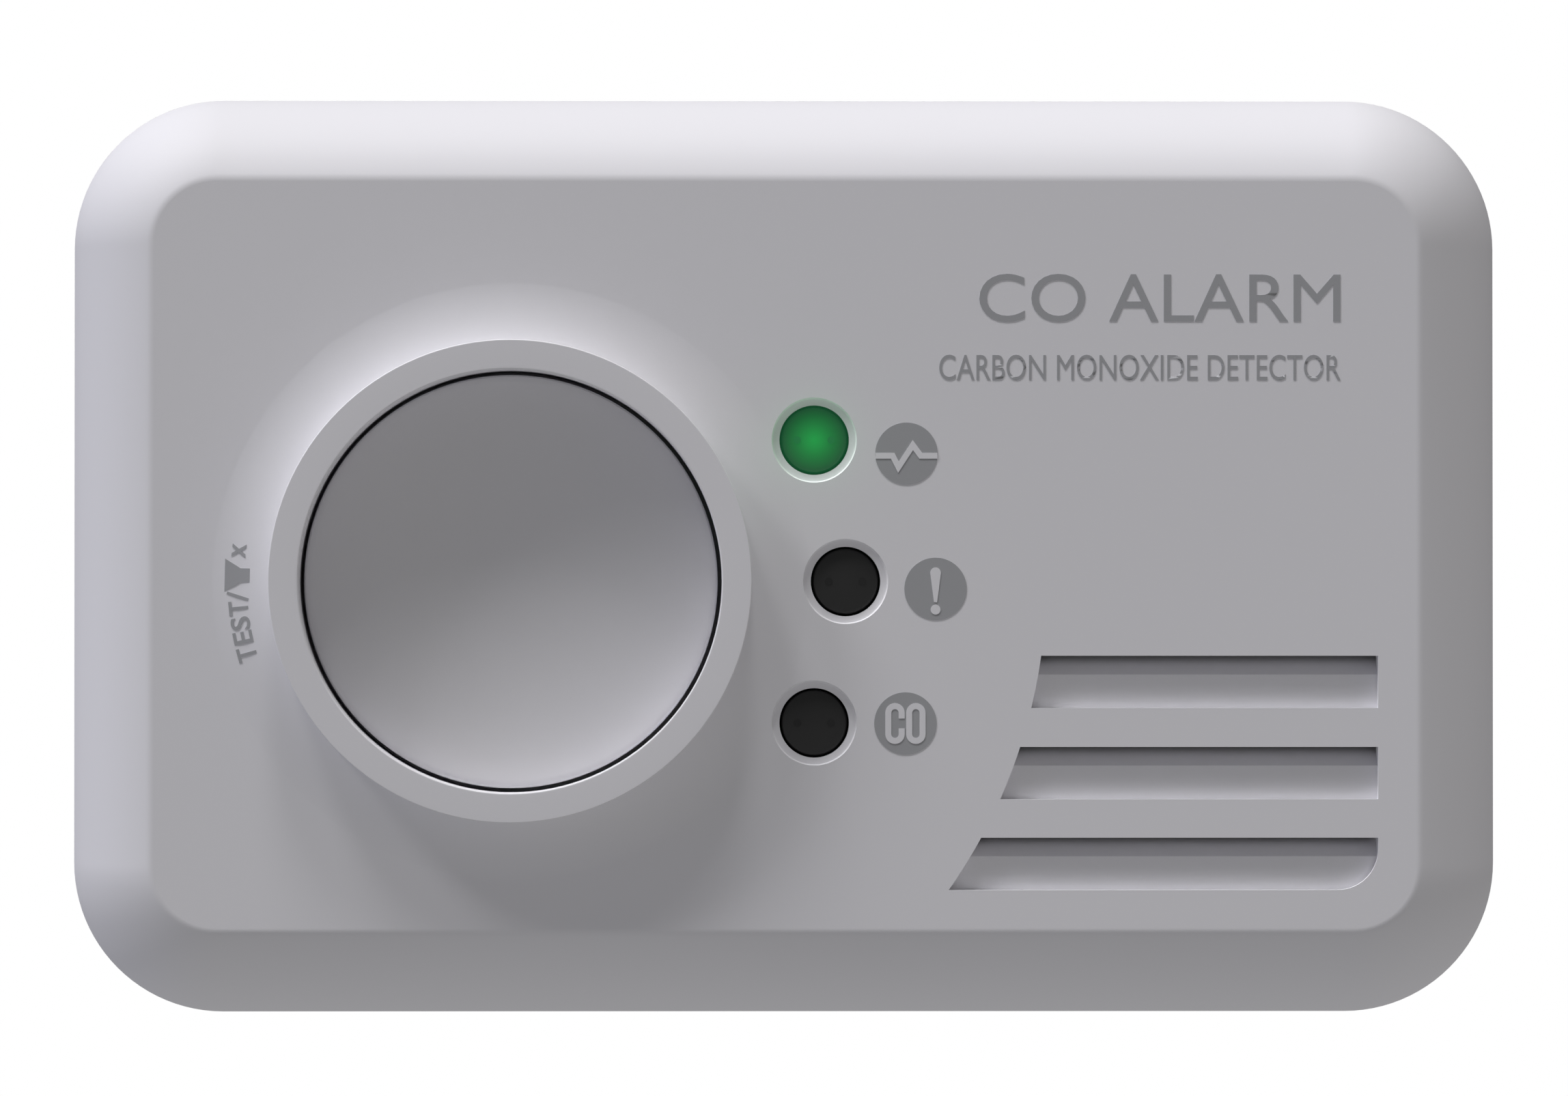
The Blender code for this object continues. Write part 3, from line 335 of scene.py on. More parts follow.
def cell_jacket():
    """A dark cell jacket with a copper-coloured band near the positive end."""
    name = "cell_jacket_look"
    made = bpy.data.materials.get(name)
    if made:
        return made
    jacket = (0.05, 0.07, 0.12)
    copper = (0.45, 0.22, 0.09)
    band_start = CELL_LENGTH * 0.22  # from the cell's middle
    made = grained(name, jacket, 0.32)
    nodes = made.node_tree.nodes
    links = made.node_tree.links
    where = nodes.new("ShaderNodeTexCoord")
    split = nodes.new("ShaderNodeSeparateXYZ")
    links.new(where.outputs["Object"], split.inputs["Vector"])
    band = nodes.new("ShaderNodeMath")
    band.operation = "GREATER_THAN"
    band.inputs[1].default_value = band_start
    links.new(split.outputs["Z"], band.inputs[0])
    colours = nodes.new("ShaderNodeMix")
    colours.data_type = "RGBA"
    colours.inputs["A"].default_value = (*jacket, 1.0)
    colours.inputs["B"].default_value = (*copper, 1.0)
    links.new(band.outputs["Value"], colours.inputs["Factor"])
    links.new(colours.outputs["Result"], nodes["Principled BSDF"].inputs["Base Color"])
    return made


def dark_lens(name):
    """The lens of a light that is off."""
    return grained(name, (0.016, 0.016, 0.016), 0.45)


def lead_dark():
    return grained("lead_dark_look", (0.007, 0.007, 0.007), 0.5)


def lead_green():
    made = grained("lead_green_look", (0.004, 0.05, 0.015), 0.5)
    shader = made.node_tree.nodes["Principled BSDF"]
    shader.inputs["Emission Color"].default_value = (0.006, 0.11, 0.03, 1.0)
    shader.inputs["Emission Strength"].default_value = 1.0
    return made


def lit_lens():
    """The lens of the lit green light: it glows most in the middle."""
    middle_glow = (0.004, 0.24, 0.04)
    edge_glow = (0.006, 0.055, 0.020)
    made = grained("lit_lens_look", (0.006, 0.04, 0.015), 0.45)
    nodes = made.node_tree.nodes
    links = made.node_tree.links
    shader = nodes["Principled BSDF"]
    where = nodes.new("ShaderNodeTexCoord")
    flat_place = nodes.new("ShaderNodeVectorMath")
    flat_place.operation = "MULTIPLY"
    flat_place.inputs[1].default_value = (1.0, 1.0, 0.0)
    links.new(where.outputs["Object"], flat_place.inputs[0])
    reach = nodes.new("ShaderNodeVectorMath")
    reach.operation = "LENGTH"
    links.new(flat_place.outputs["Vector"], reach.inputs[0])
    fade = nodes.new("ShaderNodeMapRange")
    fade.inputs["From Max"].default_value = LED_RADIUS
    links.new(reach.outputs["Value"], fade.inputs["Value"])
    colours = nodes.new("ShaderNodeMix")
    colours.data_type = "RGBA"
    colours.inputs["A"].default_value = (*middle_glow, 1.0)
    colours.inputs["B"].default_value = (*edge_glow, 1.0)
    links.new(fade.outputs["Result"], colours.inputs["Factor"])
    links.new(colours.outputs["Result"], shader.inputs["Emission Color"])
    shader.inputs["Emission Strength"].default_value = 1.0
    return made


def white_to_camera(tree, given):
    """A colour that is white to the camera and this one for the light that falls on the object."""
    path = tree.nodes.new("ShaderNodeLightPath")
    choose = tree.nodes.new("ShaderNodeMix")
    choose.data_type = "RGBA"
    choose.inputs["A"].default_value = (*given, 1.0)
    choose.inputs["B"].default_value = (*WHITE, 1.0)
    tree.links.new(path.outputs["Is Camera Ray"], choose.inputs["Factor"])
    return choose.outputs["Result"]


def floor_glow():
    """The floor looks pure white and gives a softer light from below."""
    made = bpy.data.materials.new("floor_look")
    made.use_nodes = True
    tree = made.node_tree
    tree.nodes.clear()
    glow = tree.nodes.new("ShaderNodeEmission")
    tree.links.new(white_to_camera(tree, FLOOR_LIGHT), glow.inputs["Color"])
    end = tree.nodes.new("ShaderNodeOutputMaterial")
    tree.links.new(glow.outputs["Emission"], end.inputs["Surface"])
    return made


# ---- basic solids ----


def from_bmesh(solid, name):
    """Put a bmesh in a new object, with its faces looking outwards."""
    bmesh.ops.recalc_face_normals(solid, faces=solid.faces)
    mesh = bpy.data.meshes.new(name)
    solid.to_mesh(mesh)
    solid.free()
    thing = bpy.data.objects.new(name, mesh)
    bpy.context.scene.collection.objects.link(thing)
    return thing


def box(x_range, y_range, z_range, name="box"):
    low = Vector((x_range[0], y_range[0], z_range[0]))
    high = Vector((x_range[1], y_range[1], z_range[1]))
    solid = bmesh.new()
    place = Matrix.Translation((low + high) / 2) @ Matrix.Diagonal((*(high - low), 1.0))
    bmesh.ops.create_cube(solid, size=1.0, matrix=place)
    return from_bmesh(solid, name)


def cylinder(radius, x, y, z_range, steps=32, axis="Z"):
    """A round bar along Z, or along X when axis says so (x and y are then its y and z)."""
    middle = (z_range[0] + z_range[1]) / 2
    place = Matrix.Translation((x, y, middle))
    if axis == "X":
        place = Matrix.Translation((middle, x, y)) @ Matrix.Rotation(math.pi / 2, 4, "Y")
    solid = bmesh.new()
    bmesh.ops.create_cone(
        solid,
        cap_ends=True,
        segments=steps,
        radius1=radius,
        radius2=radius,
        depth=z_range[1] - z_range[0],
        matrix=place,
    )
    return from_bmesh(solid, "cylinder")


def flat(outline, z_low, z_high):
    """An outline as a plate."""
    solid = bmesh.new()
    low = [solid.verts.new((x, y, z_low)) for x, y in outline]
    high = [solid.verts.new((x, y, z_high)) for x, y in outline]
    for i in range(len(outline)):
        j = (i + 1) % len(outline)
        solid.faces.new((low[i], low[j], high[j], high[i]))
    solid.faces.new(low)
    solid.faces.new(high)
    return from_bmesh(solid, "flat")


def loft(rings, name):
    """A closed solid through a stack of outlines with equal numbers of points, capped at both ends."""
    solid = bmesh.new()
    levels = [[solid.verts.new(point) for point in ring] for ring in rings]
    for lower, upper in zip(levels, levels[1:]):
        for i in range(len(lower)):
            j = (i + 1) % len(lower)
            solid.faces.new((lower[i], lower[j], upper[j], upper[i]))
    solid.faces.new(levels[0])
    solid.faces.new(levels[-1])
    return from_bmesh(solid, name)


def turned(profile, x, y, steps=ROUND_STEPS):
    """A turned solid about a line along Z: the profile lists (radius, z), outer side from top to bottom."""
    solid = bmesh.new()
    rings = []
    for radius, z in profile:
        if radius < MERGE:
            rings.append([solid.verts.new((x, y, z))])
            continue
        turns = [2 * math.pi * step / steps for step in range(steps)]
        rings.append([
            solid.verts.new((x + radius * math.cos(turn), y + radius * math.sin(turn), z)) for turn in turns
        ])
    pairs = list(zip(rings, rings[1:]))
    if len(rings[0]) > 1:
        pairs.append((rings[-1], rings[0]))
    for upper, lower in pairs:
        for i in range(steps):
            j = (i + 1) % steps
            if len(upper) == 1:
                solid.faces.new((upper[0], lower[i], lower[j]))
            elif len(lower) == 1:
                solid.faces.new((upper[i], lower[0], upper[j]))
            else:
                solid.faces.new((upper[i], lower[i], lower[j], upper[j]))
    return from_bmesh(solid, "turned")


def mesh_of(guide):
    """Replace a curve or a text by a mesh object, and drop the guide."""
    bpy.context.scene.collection.objects.link(guide)
    depsgraph = bpy.context.evaluated_depsgraph_get()
    mesh = bpy.data.meshes.new_from_object(guide.evaluated_get(depsgraph))
    bpy.data.objects.remove(guide, do_unlink=True)
    solid = bmesh.new()
    solid.from_mesh(mesh)
    bmesh.ops.remove_doubles(solid, verts=solid.verts, dist=MERGE / 100)
    return from_bmesh(solid, "guide")


def wire(points, thickness):
    """A round wire through these points."""
    curve = bpy.data.curves.new("wire", "CURVE")
    curve.dimensions = "3D"
    curve.bevel_depth = thickness / 2
    curve.bevel_resolution = 3
    curve.use_fill_caps = True
    line = curve.splines.new("POLY")
    line.points.add(len(points) - 1)
    for point, place in zip(line.points, points):
        point.co = (*place, 1.0)
    return mesh_of(bpy.data.objects.new("wire", curve))


def words(text, height, width=None, weight=0.0):
    """A line of text as a thin plate about the origin, this tall and, when given, this wide."""
    curve = bpy.data.curves.new("words", "FONT")
    curve.body = text
    curve.size = 1.0
    curve.offset = weight
    curve.extrude = 0.5
    curve.resolution_u = 6
    plate = mesh_of(bpy.data.objects.new("words", curve))
    xs = [vertex.co.x for vertex in plate.data.vertices]
    ys = [vertex.co.y for vertex in plate.data.vertices]
    scale_y = height / (max(ys) - min(ys))
    scale_x = scale_y if width is None else width / (max(xs) - min(xs))
    middle = Matrix.Translation((-(max(xs) + min(xs)) / 2, -(max(ys) + min(ys)) / 2, 0.0))
    plate.data.transform(Matrix.Diagonal((scale_x, scale_y, 2 * INK, 1.0)) @ middle)
    return plate


def fused(things, name):
    """Several solids as one object."""
    joined = bmesh.new()
    for thing in things:
        thing.data.transform(thing.matrix_basis)
        joined.from_mesh(thing.data)
        bpy.data.objects.remove(thing, do_unlink=True)
    return from_bmesh(joined, name)


def combine(thing, steps):
    """Apply a list of (operation, tool) and drop the tools."""
    for operation, tool in steps:
        change = thing.modifiers.new(operation.lower(), "BOOLEAN")
        change.operation = operation
        change.solver = "EXACT"
        change.object = tool
    depsgraph = bpy.context.evaluated_depsgraph_get()
    mesh = bpy.data.meshes.new_from_object(thing.evaluated_get(depsgraph))
    thing.modifiers.clear()
    thing.data = mesh
    for _, tool in steps:
        bpy.data.objects.remove(tool, do_unlink=True)
    return thing


def join(tool):
    return ("UNION", tool)


def cut(tool):
    return ("DIFFERENCE", tool)


def shade(thing, angle=math.radians(30)):
    """Smooth shading with real edges kept, and large flat faces kept flat."""
    thing.data.shade_smooth()
    thing.data.set_sharp_from_angle(angle=angle)
    weights = thing.modifiers.new("weights", "WEIGHTED_NORMAL")
    weights.keep_sharp = True


def show(thing, name, look, body, slot, *nodes):
    """Finish one shown piece: its name, place, finish, body and the CAD nodes that it stands for."""
    thing.name = name
    thing.data.name = name
    thing.data.materials.clear()
    thing.data.materials.append(look)
    thing.matrix_world = UPRIGHT @ thing.matrix_basis
    shade(thing)
    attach(thing, body)
    if nodes:
        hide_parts(*nodes)
    return thing


# ---- outlines ----


def rounded_rectangle(half_width, half_height, radius, steps=CORNER_STEPS, centre=(0.0, 0.0)):
    """The points of a rectangle with round corners, anticlockwise."""
    outline = []
    for side_x, side_y, start in ((1, 1, 0), (-1, 1, 90), (-1, -1, 180), (1, -1, 270)):
        for step in range(steps + 1):
            angle = math.radians(start + 90 * step / steps)
            x = side_x * (half_width - radius) + radius * math.cos(angle)
            y = side_y * (half_height - radius) + radius * math.sin(angle)
            outline.append((centre[0] + x, centre[1] + y))
    return outline


def body_ring(inset, z):
    """The case's outline, moved inwards by inset, at height z."""
    outline = rounded_rectangle(BODY_WIDTH / 2 - inset, BODY_HEIGHT / 2 - inset, CORNER_RADIUS - inset)
    return [(x, y, z) for x, y in outline]


def rim_levels(thickness, end_z):
    """(inset, z) up the rounded rim, at this depth below the outer surface, ending at a flat height."""
    radius = RIM_RADIUS - thickness
    end_angle = math.asin((end_z - RIM_START_Z) / radius)
    levels = []
    for step in range(RIM_STEPS + 1):
        angle = end_angle * step / RIM_STEPS
        inset = thickness + radius * (1 - math.cos(angle))
        levels.append((inset, RIM_START_Z + radius * math.sin(angle)))
    return levels


def creased(levels, size, steps=4):
    """Round off the corner between the last level and the flat face inside it."""
    (inset_a, z_a), (corner, z) = levels[-2:]
    length = math.hypot(corner - inset_a, z - z_a)
    start = (corner - (corner - inset_a) * size / length, z - (z - z_a) * size / length)
    end = (corner + size, z)
    rounded = []
    for step in range(steps + 1):
        share = step / steps
        rounded.append(tuple(
            (1 - share) ** 2 * a + 2 * share * (1 - share) * b + share**2 * c
            for a, b, c in zip(start, (corner, z), end)
        ))
    return levels[:-1] + rounded


def light_places():
    return [local_middle(node).xy for node in LIGHTS]


def vent_left_x(y):
    """Where the circle about the button crosses height y, right of the button."""
    return BUTTON_X + math.sqrt(VENT_CIRCLE**2 - (y - BUTTON_Y) ** 2)


def vent_outline(top, corner):
    """One vent: its left end follows the circle, and its lower right corner may be rounded."""
    bottom = top - VENT_HEIGHT
    steps = 16
    heights = [top + (bottom - top) * step / steps for step in range(steps + 1)]
    outline = [(vent_left_x(y), y) for y in heights]
    if corner:
        for step in range(steps + 1):
            angle = math.radians(-90 + 90 * step / steps)
            x = VENT_RIGHT_X - corner + corner * math.cos(angle)
            outline.append((x, bottom + corner + corner * math.sin(angle)))
    else:
        outline.append((VENT_RIGHT_X, bottom))
    return outline + [(VENT_RIGHT_X, top)]


# ---- case ----


def case_screw_places():
    return [(sx * CASE_SCREW_X, sy * CASE_SCREW_Y) for sx in (-1, 1) for sy in (-1, 1)]


def make_front_cover():
    inner = [body_ring(*level) for level in rim_levels(WALL, INNER_FACE_Z)]
    outer = [body_ring(*level) for level in creased(rim_levels(0.0, FACE_Z), CREASE)]
    rings = list(reversed(inner)) + [body_ring(WALL, SPLIT_Z), body_ring(0.0, SPLIT_Z)] + outer
    cover = loft(rings, "front_cover")
    boss_middle = (BUTTON_HOLE_RADIUS + COLLAR_RADIUS) / 2
    well = cylinder(boss_middle, BUTTON_X, BUTTON_Y, (INNER_FACE_Z - WALL, FACE_Z + WALL), steps=96)
    steps = [cut(well), join(button_boss())]
    for x, y in case_screw_places():
        steps.append(join(cylinder(POST_RADIUS, x, y, (SPLIT_Z + GAP, INNER_FACE_Z + GAP))))
    for x, y in BOARD_SCREWS:
        steps.append(join(cylinder(BOARD_POST_RADIUS, x, y, (BOARD_POST_Z, INNER_FACE_Z + WALL / 2))))
    for x, y in light_places():
        steps.append(cut(light_hole(x, y)))
    for top in VENT_TOPS:
        corner = VENT_CORNER if top == VENT_TOPS[-1] else 0.0
        steps.append(cut(flat(vent_outline(top, corner), INNER_FACE_Z - WALL, FACE_Z + WALL)))
        steps.append(join(louvre(top)))
    for x, y in case_screw_places():
        steps.append(cut(cylinder(SCREW_RADIUS + GAP, x, y, (SPLIT_Z - WALL, SCREW_END_Z + GAP))))
    for x, y in BOARD_SCREWS:
        hole = (BOARD_POST_Z - WALL, BOARD_SCREW_END_Z + GAP)
        steps.append(cut(cylinder(BOARD_SCREW_RADIUS + GAP, x, y, hole, steps=16)))
    combine(cover, steps)
    return show(cover, "shown_front_cover", white_plastic(), "case", "white_plastic", "front_cover")


def rounded_edge(radius, z, size, outward):
    """Four points that round the edge of a ring's top, on its outer or its inner side."""
    turns = (90, 60, 30, 0) if outward else (180, 150, 120, 90)
    side = radius - size if outward else radius + size
    return [
        (side + size * math.cos(math.radians(turn)), z - size + size * math.sin(math.radians(turn)))
        for turn in turns
    ]


def button_boss():
    """The ring that stands up around the button, its flared foot and the collar that guides the button."""
    flare_steps = 20
    foot_z = FACE_Z - MERGE
    profile = rounded_edge(BUTTON_HOLE_RADIUS, BOSS_Z, EDGE_ROUND / 2, False)
    profile += rounded_edge(RING_RADIUS, BOSS_Z, EDGE_ROUND / 3, True)
    for step in range(flare_steps + 1):
        share = step / flare_steps
        radius = RING_RADIUS + (FLARE_RADIUS - RING_RADIUS) * share
        profile.append((radius, foot_z + FLARE_HEIGHT * (1 - share) ** 2))
    middle_z = (FACE_Z + INNER_FACE_Z) / 2
    profile += [
        (FLARE_RADIUS, middle_z),
        (COLLAR_RADIUS, middle_z),
        (COLLAR_RADIUS, COLLAR_Z),
        (BUTTON_HOLE_RADIUS, COLLAR_Z),
    ]
    return turned(profile, BUTTON_X, BUTTON_Y)


def light_hole(x, y):
    """A hole for a light, with a shallow sink at the face."""
    sink_floor = FACE_Z - LED_SINK_DEPTH
    profile = [(0.0, FACE_Z + WALL), (LED_SINK_RADIUS, FACE_Z + WALL)]
    for turn in (0, 30, 60, 90):
        turn = math.radians(turn)
        radius = LED_SINK_RADIUS - LED_SINK_CORNER * (1 - math.cos(turn))
        profile.append((radius, sink_floor + LED_SINK_CORNER * (1 - math.sin(turn))))
    profile += [
        (LED_HOLE_RADIUS, sink_floor),
        (LED_HOLE_RADIUS, INNER_FACE_Z - WALL),
        (0.0, INNER_FACE_Z - WALL),
    ]
    return turned(profile, x, y, steps=64)


def louvre(top):
    """The blade behind one vent: level at its foot, then falling away behind the vent's top edge."""
    bottom = top - VENT_HEIGHT
    level_z = FACE_Z - LOUVRE_DEPTH
    head_z = FACE_Z - LOUVRE_HEAD_DEPTH
    head_y = top + LOUVRE_REACH
    bend_y = bottom + LOUVRE_LEVEL
    section = [
        (bottom - WALL / 2, level_z),
        (bottom - WALL / 2, level_z - LOUVRE_THICKNESS),
        (bend_y, level_z - LOUVRE_THICKNESS),
        (head_y, head_z - LOUVRE_THICKNESS),
        (head_y, head_z),
        (bend_y, level_z),
    ]
    blade = flat(section, vent_left_x(bottom) - WALL / 2, VENT_RIGHT_X + WALL / 2)
    # the section was drawn in X and Y: turn it so that it runs along X with its heights in Z
    blade.data.transform(Matrix(((0, 0, 1, 0), (1, 0, 0, 0), (0, 1, 0, 0), (0, 0, 0, 1))))
    return blade


def make_rear_cover():
    top_z = SPLIT_Z - GAP
    lip_z = SPLIT_Z + WALL
    lip_inset = WALL + GAP
    inner_inset = lip_inset + BAY_WALL
    rings = [
        body_ring(inner_inset, WALL),
        body_ring(inner_inset, lip_z),
        body_ring(lip_inset, lip_z),
        body_ring(lip_inset, top_z),
        body_ring(0.0, top_z),
        body_ring(0.0, BACK_CHAMFER),
        body_ring(BACK_CHAMFER * ROUND_MIDDLE, BACK_CHAMFER * ROUND_MIDDLE),
        body_ring(BACK_CHAMFER, 0.0),
    ]
    cover = loft(rings, "rear_cover")
    half = BAY_HALF_LENGTH + BAY_WALL
    bay_y = (BAY_LOW_Y - BAY_WALL, BAY_HIGH_Y + BAY_WALL)
    steps = [join(box((-half, half), bay_y, (WALL / 2, BAY_FLOOR_Z + BAY_WALL)))]
    for x, y in case_screw_places():
        steps.append(join(cylinder(POST_RADIUS + BAY_WALL / 2, x, y, (WALL / 2, top_z))))
    hollow = (-BAY_HALF_LENGTH, BAY_HALF_LENGTH)
    steps.append(cut(box(hollow, (BAY_LOW_Y, BAY_HIGH_Y), (-WALL, BAY_FLOOR_Z))))
    steps += [join(tool) for tool in bay_details()]
    latch = LATCH_WIDTH / 2 + GAP
    notch_y = (BAY_HIGH_Y - GAP, BAY_HIGH_Y + LATCH_REACH)
    steps.append(cut(box((-latch, latch), notch_y, (-WALL, DOOR_THICKNESS + GAP))))
    reach = BAY_HALF_LENGTH + BAY_WALL + GAP
    steps.append(cut(cylinder(PEG_RADIUS + GAP, HINGE_Y, HINGE_Z, (-reach, reach), axis="X")))
    for x in (-KEYHOLE_X, KEYHOLE_X):
        steps.append(cut(keyhole(x)))
    for x, y in case_screw_places():
        steps.append(cut(case_screw_bore(x, y)))
    steps.append(cut(label_recess()))
    steps += [cut(tab_slot(y)) for y in CELL_Y]
    combine(cover, steps)
    return show(cover, "shown_rear_cover", white_plastic(), "case", "white_plastic", "rear_cover")


def bay_details():
    """Two stops behind the door's upper corners and a rib on the floor between the cells."""
    rib_y = sum(CELL_Y) / 2
    rib_width = (rib_y - BAY_WALL / 2, rib_y + BAY_WALL / 2)
    rib_height = (BAY_FLOOR_Z - RIB_HEIGHT, BAY_FLOOR_Z + BAY_WALL / 2)
    details = [box((-BAY_HALF_LENGTH / 2, BAY_HALF_LENGTH / 2), rib_width, rib_height)]
    stop_z = DOOR_THICKNESS + GAP
    for side in (-1, 1):
        ends = sorted((side * (BAY_HALF_LENGTH + BAY_WALL / 2), side * (BAY_HALF_LENGTH - STOP_LENGTH)))
        height = (BAY_HIGH_Y - STOP_REACH, BAY_HIGH_Y + BAY_WALL / 2)
        details.append(box(ends, height, (stop_z, stop_z + BAY_WALL)))
    return details


def keyhole(x):
    """A keyhole for a wall screw: a round entry and a narrow slot above it."""
    steps = 24
    entry_turn = math.asin(KEYHOLE_SLOT_RADIUS / KEYHOLE_RADIUS)
    start = math.pi / 2 + entry_turn
    sweep = 2 * math.pi - 2 * entry_turn
    outline = []
    for step in range(2 * steps + 1):
        turn = start + sweep * step / (2 * steps)
        outline.append((x + KEYHOLE_RADIUS * math.cos(turn), KEYHOLE_Y + KEYHOLE_RADIUS * math.sin(turn)))
    for step in range(steps + 1):
        turn = math.pi * step / steps
        slot_y = KEYHOLE_Y + KEYHOLE_RISE + KEYHOLE_SLOT_RADIUS * math.sin(turn)
        outline.append((x + KEYHOLE_SLOT_RADIUS * math.cos(turn), slot_y))
    return flat(outline, -WALL, WALL + GAP)


def case_screw_bore(x, y):
    """The stepped bore that hides one case screw's head."""
    head_bore = SCREW_HEAD_RADIUS + GAP
    shank_bore = SCREW_RADIUS + GAP
    seat = SCREW_SEAT_Z + GAP
    profile = [
        (0.0, SPLIT_Z + WALL),
        (shank_bore, SPLIT_Z + WALL),
        (shank_bore, seat),
        (head_bore, seat),
        (head_bore, -WALL),
        (0.0, -WALL),
    ]
    return turned(profile, x, y, steps=32)


def label_recess():
    half_width = LABEL_WIDTH / 2 + GAP
    half_height = LABEL_HEIGHT / 2 + GAP
    height = (LABEL_Y - half_height, LABEL_Y + half_height)
    return box((-half_width, half_width), height, (-WALL, LABEL_THICKNESS + GAP))


def tab_slot(y):
    """The slot that one battery contact's solder tab passes through."""
    x = BAY_HALF_LENGTH - GAP - CONTACT_THICKNESS / 2
    half = CONTACT_THICKNESS / 2 + GAP
    reach = TAB_HALF_WIDTH + GAP
    return box((x - half, x + half), (y - reach, y + reach), (BAY_FLOOR_Z - WALL, BAY_FLOOR_Z + WALL))


def make_battery_door():
    half = BAY_HALF_LENGTH - GAP
    top = BAY_HIGH_Y - GAP
    door = box((-half, half), (HINGE_Y, top), (0.0, DOOR_THICKNESS))
    peg_end = BAY_HALF_LENGTH + BAY_WALL - GAP
    latch_half = LATCH_WIDTH / 2
    latch_y = (top - GAP, top + LATCH_REACH)
    steps = [
        join(cylinder(BARREL_RADIUS, HINGE_Y, HINGE_Z, (-half, half), steps=48, axis="X")),
        join(cylinder(PEG_RADIUS, HINGE_Y, HINGE_Z, (-peg_end, peg_end), axis="X")),
        join(box((-latch_half, latch_half), latch_y, (0.0, DOOR_THICKNESS))),
    ]
    for x in (-BAY_HALF_LENGTH / 2, BAY_HALF_LENGTH / 2):
        width = (x - BAY_WALL / 2, x + BAY_WALL / 2)
        height = (HINGE_Y + BARREL_RADIUS / 2, top - BARREL_RADIUS)
        steps.append(join(box(width, height, (DOOR_THICKNESS / 2, CELL_Z - CELL_RADIUS - GAP))))
    for side in (-1, 1):
        x = side * (latch_half + LATCH_SLIT / 2)
        ends = (x - LATCH_SLIT / 2, x + LATCH_SLIT / 2)
        steps.append(cut(box(ends, (top - LATCH_LENGTH, top + WALL), (-WALL, WALL + GAP))))
    scoop_radius = 0.0120
    scoop_depth = 0.0008
    scoop_half = latch_half - 2 * LATCH_SLIT
    scoop_y = top - LATCH_LENGTH / 2
    scoop_z = scoop_depth - scoop_radius
    scoop = cylinder(scoop_radius, scoop_y, scoop_z, (-scoop_half, scoop_half), steps=160, axis="X")
    steps.append(cut(scoop))
    steps.append(cut(door_arrow(scoop_y - LATCH_LENGTH)))
    combine(door, steps)
    return show(door, "shown_battery_door", white_plastic(), "door", "white_plastic", "battery_door")


def door_arrow(y):
    """A sunk arrowhead that points down, the way that the door swings."""
    depth = 0.0003
    half = 0.0026
    return flat([(-half, y + half), (0.0, y - half), (half, y + half), (0.0, y + half / 3)], -WALL, depth)


# ---- button and spring ----


def make_test_button():
    """A dished cap with a skirt, a flange that keeps it behind the collar, and a stem for the switch."""
    radius = BUTTON_HOLE_RADIUS - GAP
    dish_radius = radius - BUTTON_RIM
    dish_steps = 32
    floor_z = BUTTON_TOP_Z - DISH_DEPTH
    inner_top_z = floor_z - BUTTON_WALL
    skirt_radius = radius - BUTTON_WALL
    flange_top_z = COLLAR_Z - GAP
    flange_z = flange_top_z - BUTTON_WALL
    profile = [
        (dish_radius * step / dish_steps, floor_z + DISH_DEPTH * (step / dish_steps) ** 2)
        for step in range(dish_steps + 1)
    ]
    profile += rounded_edge(radius, BUTTON_TOP_Z, EDGE_ROUND, True)
    profile += [
        (radius, flange_top_z),
        (COLLAR_RADIUS - GAP, flange_top_z),
        (COLLAR_RADIUS - GAP, flange_z),
        (skirt_radius, flange_z),
        (skirt_radius, inner_top_z),
        (STEM_RADIUS, inner_top_z),
        (STEM_RADIUS, STEM_END_Z),
        (0.0, STEM_END_Z),
    ]
    button = turned(profile, BUTTON_X, BUTTON_Y)
    # the button's plastic is painted greyer than the case, as painted shade for its dish
    return show(button, "shown_test_button", button_with_painted_shade(), "button", "white_plastic", "test_button")


def make_button_spring():
    """The coil between the board and the button, drawn at rest; in the alarm it shortens as the button goes
    in.
    """
    bottom = BOARD_POST_Z + SPRING_WIRE / 2
    top = BUTTON_TOP_Z - DISH_DEPTH - BUTTON_WALL - GAP - SPRING_WIRE / 2
    steps_per_turn = 36
    lying = 0.75  # the first and the last three quarters of a turn lie almost flat
    lying_rise = SPRING_WIRE * 1.2
    count = int(SPRING_TURNS * steps_per_turn)
    points = []
    for step in range(count + 1):
        turns = SPRING_TURNS * step / count
        rise = min(max((turns - lying) / (SPRING_TURNS - 2 * lying), 0.0), 1.0)
        first = lying_rise * min(turns, lying) / lying
        last = lying_rise * max(turns - SPRING_TURNS + lying, 0.0) / lying
        z = bottom + first + last + rise * (top - bottom - 2 * lying_rise)
        x = BUTTON_X + SPRING_RADIUS * math.cos(2 * math.pi * turns)
        y = BUTTON_Y + SPRING_RADIUS * math.sin(2 * math.pi * turns)
        points.append((x, y, z))
    spring = wire(points, SPRING_WIRE)
    show(spring, "shown_button_spring", bright_steel(), "case", "spring_steel", "button_spring")
    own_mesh(spring)


# ---- lights ----


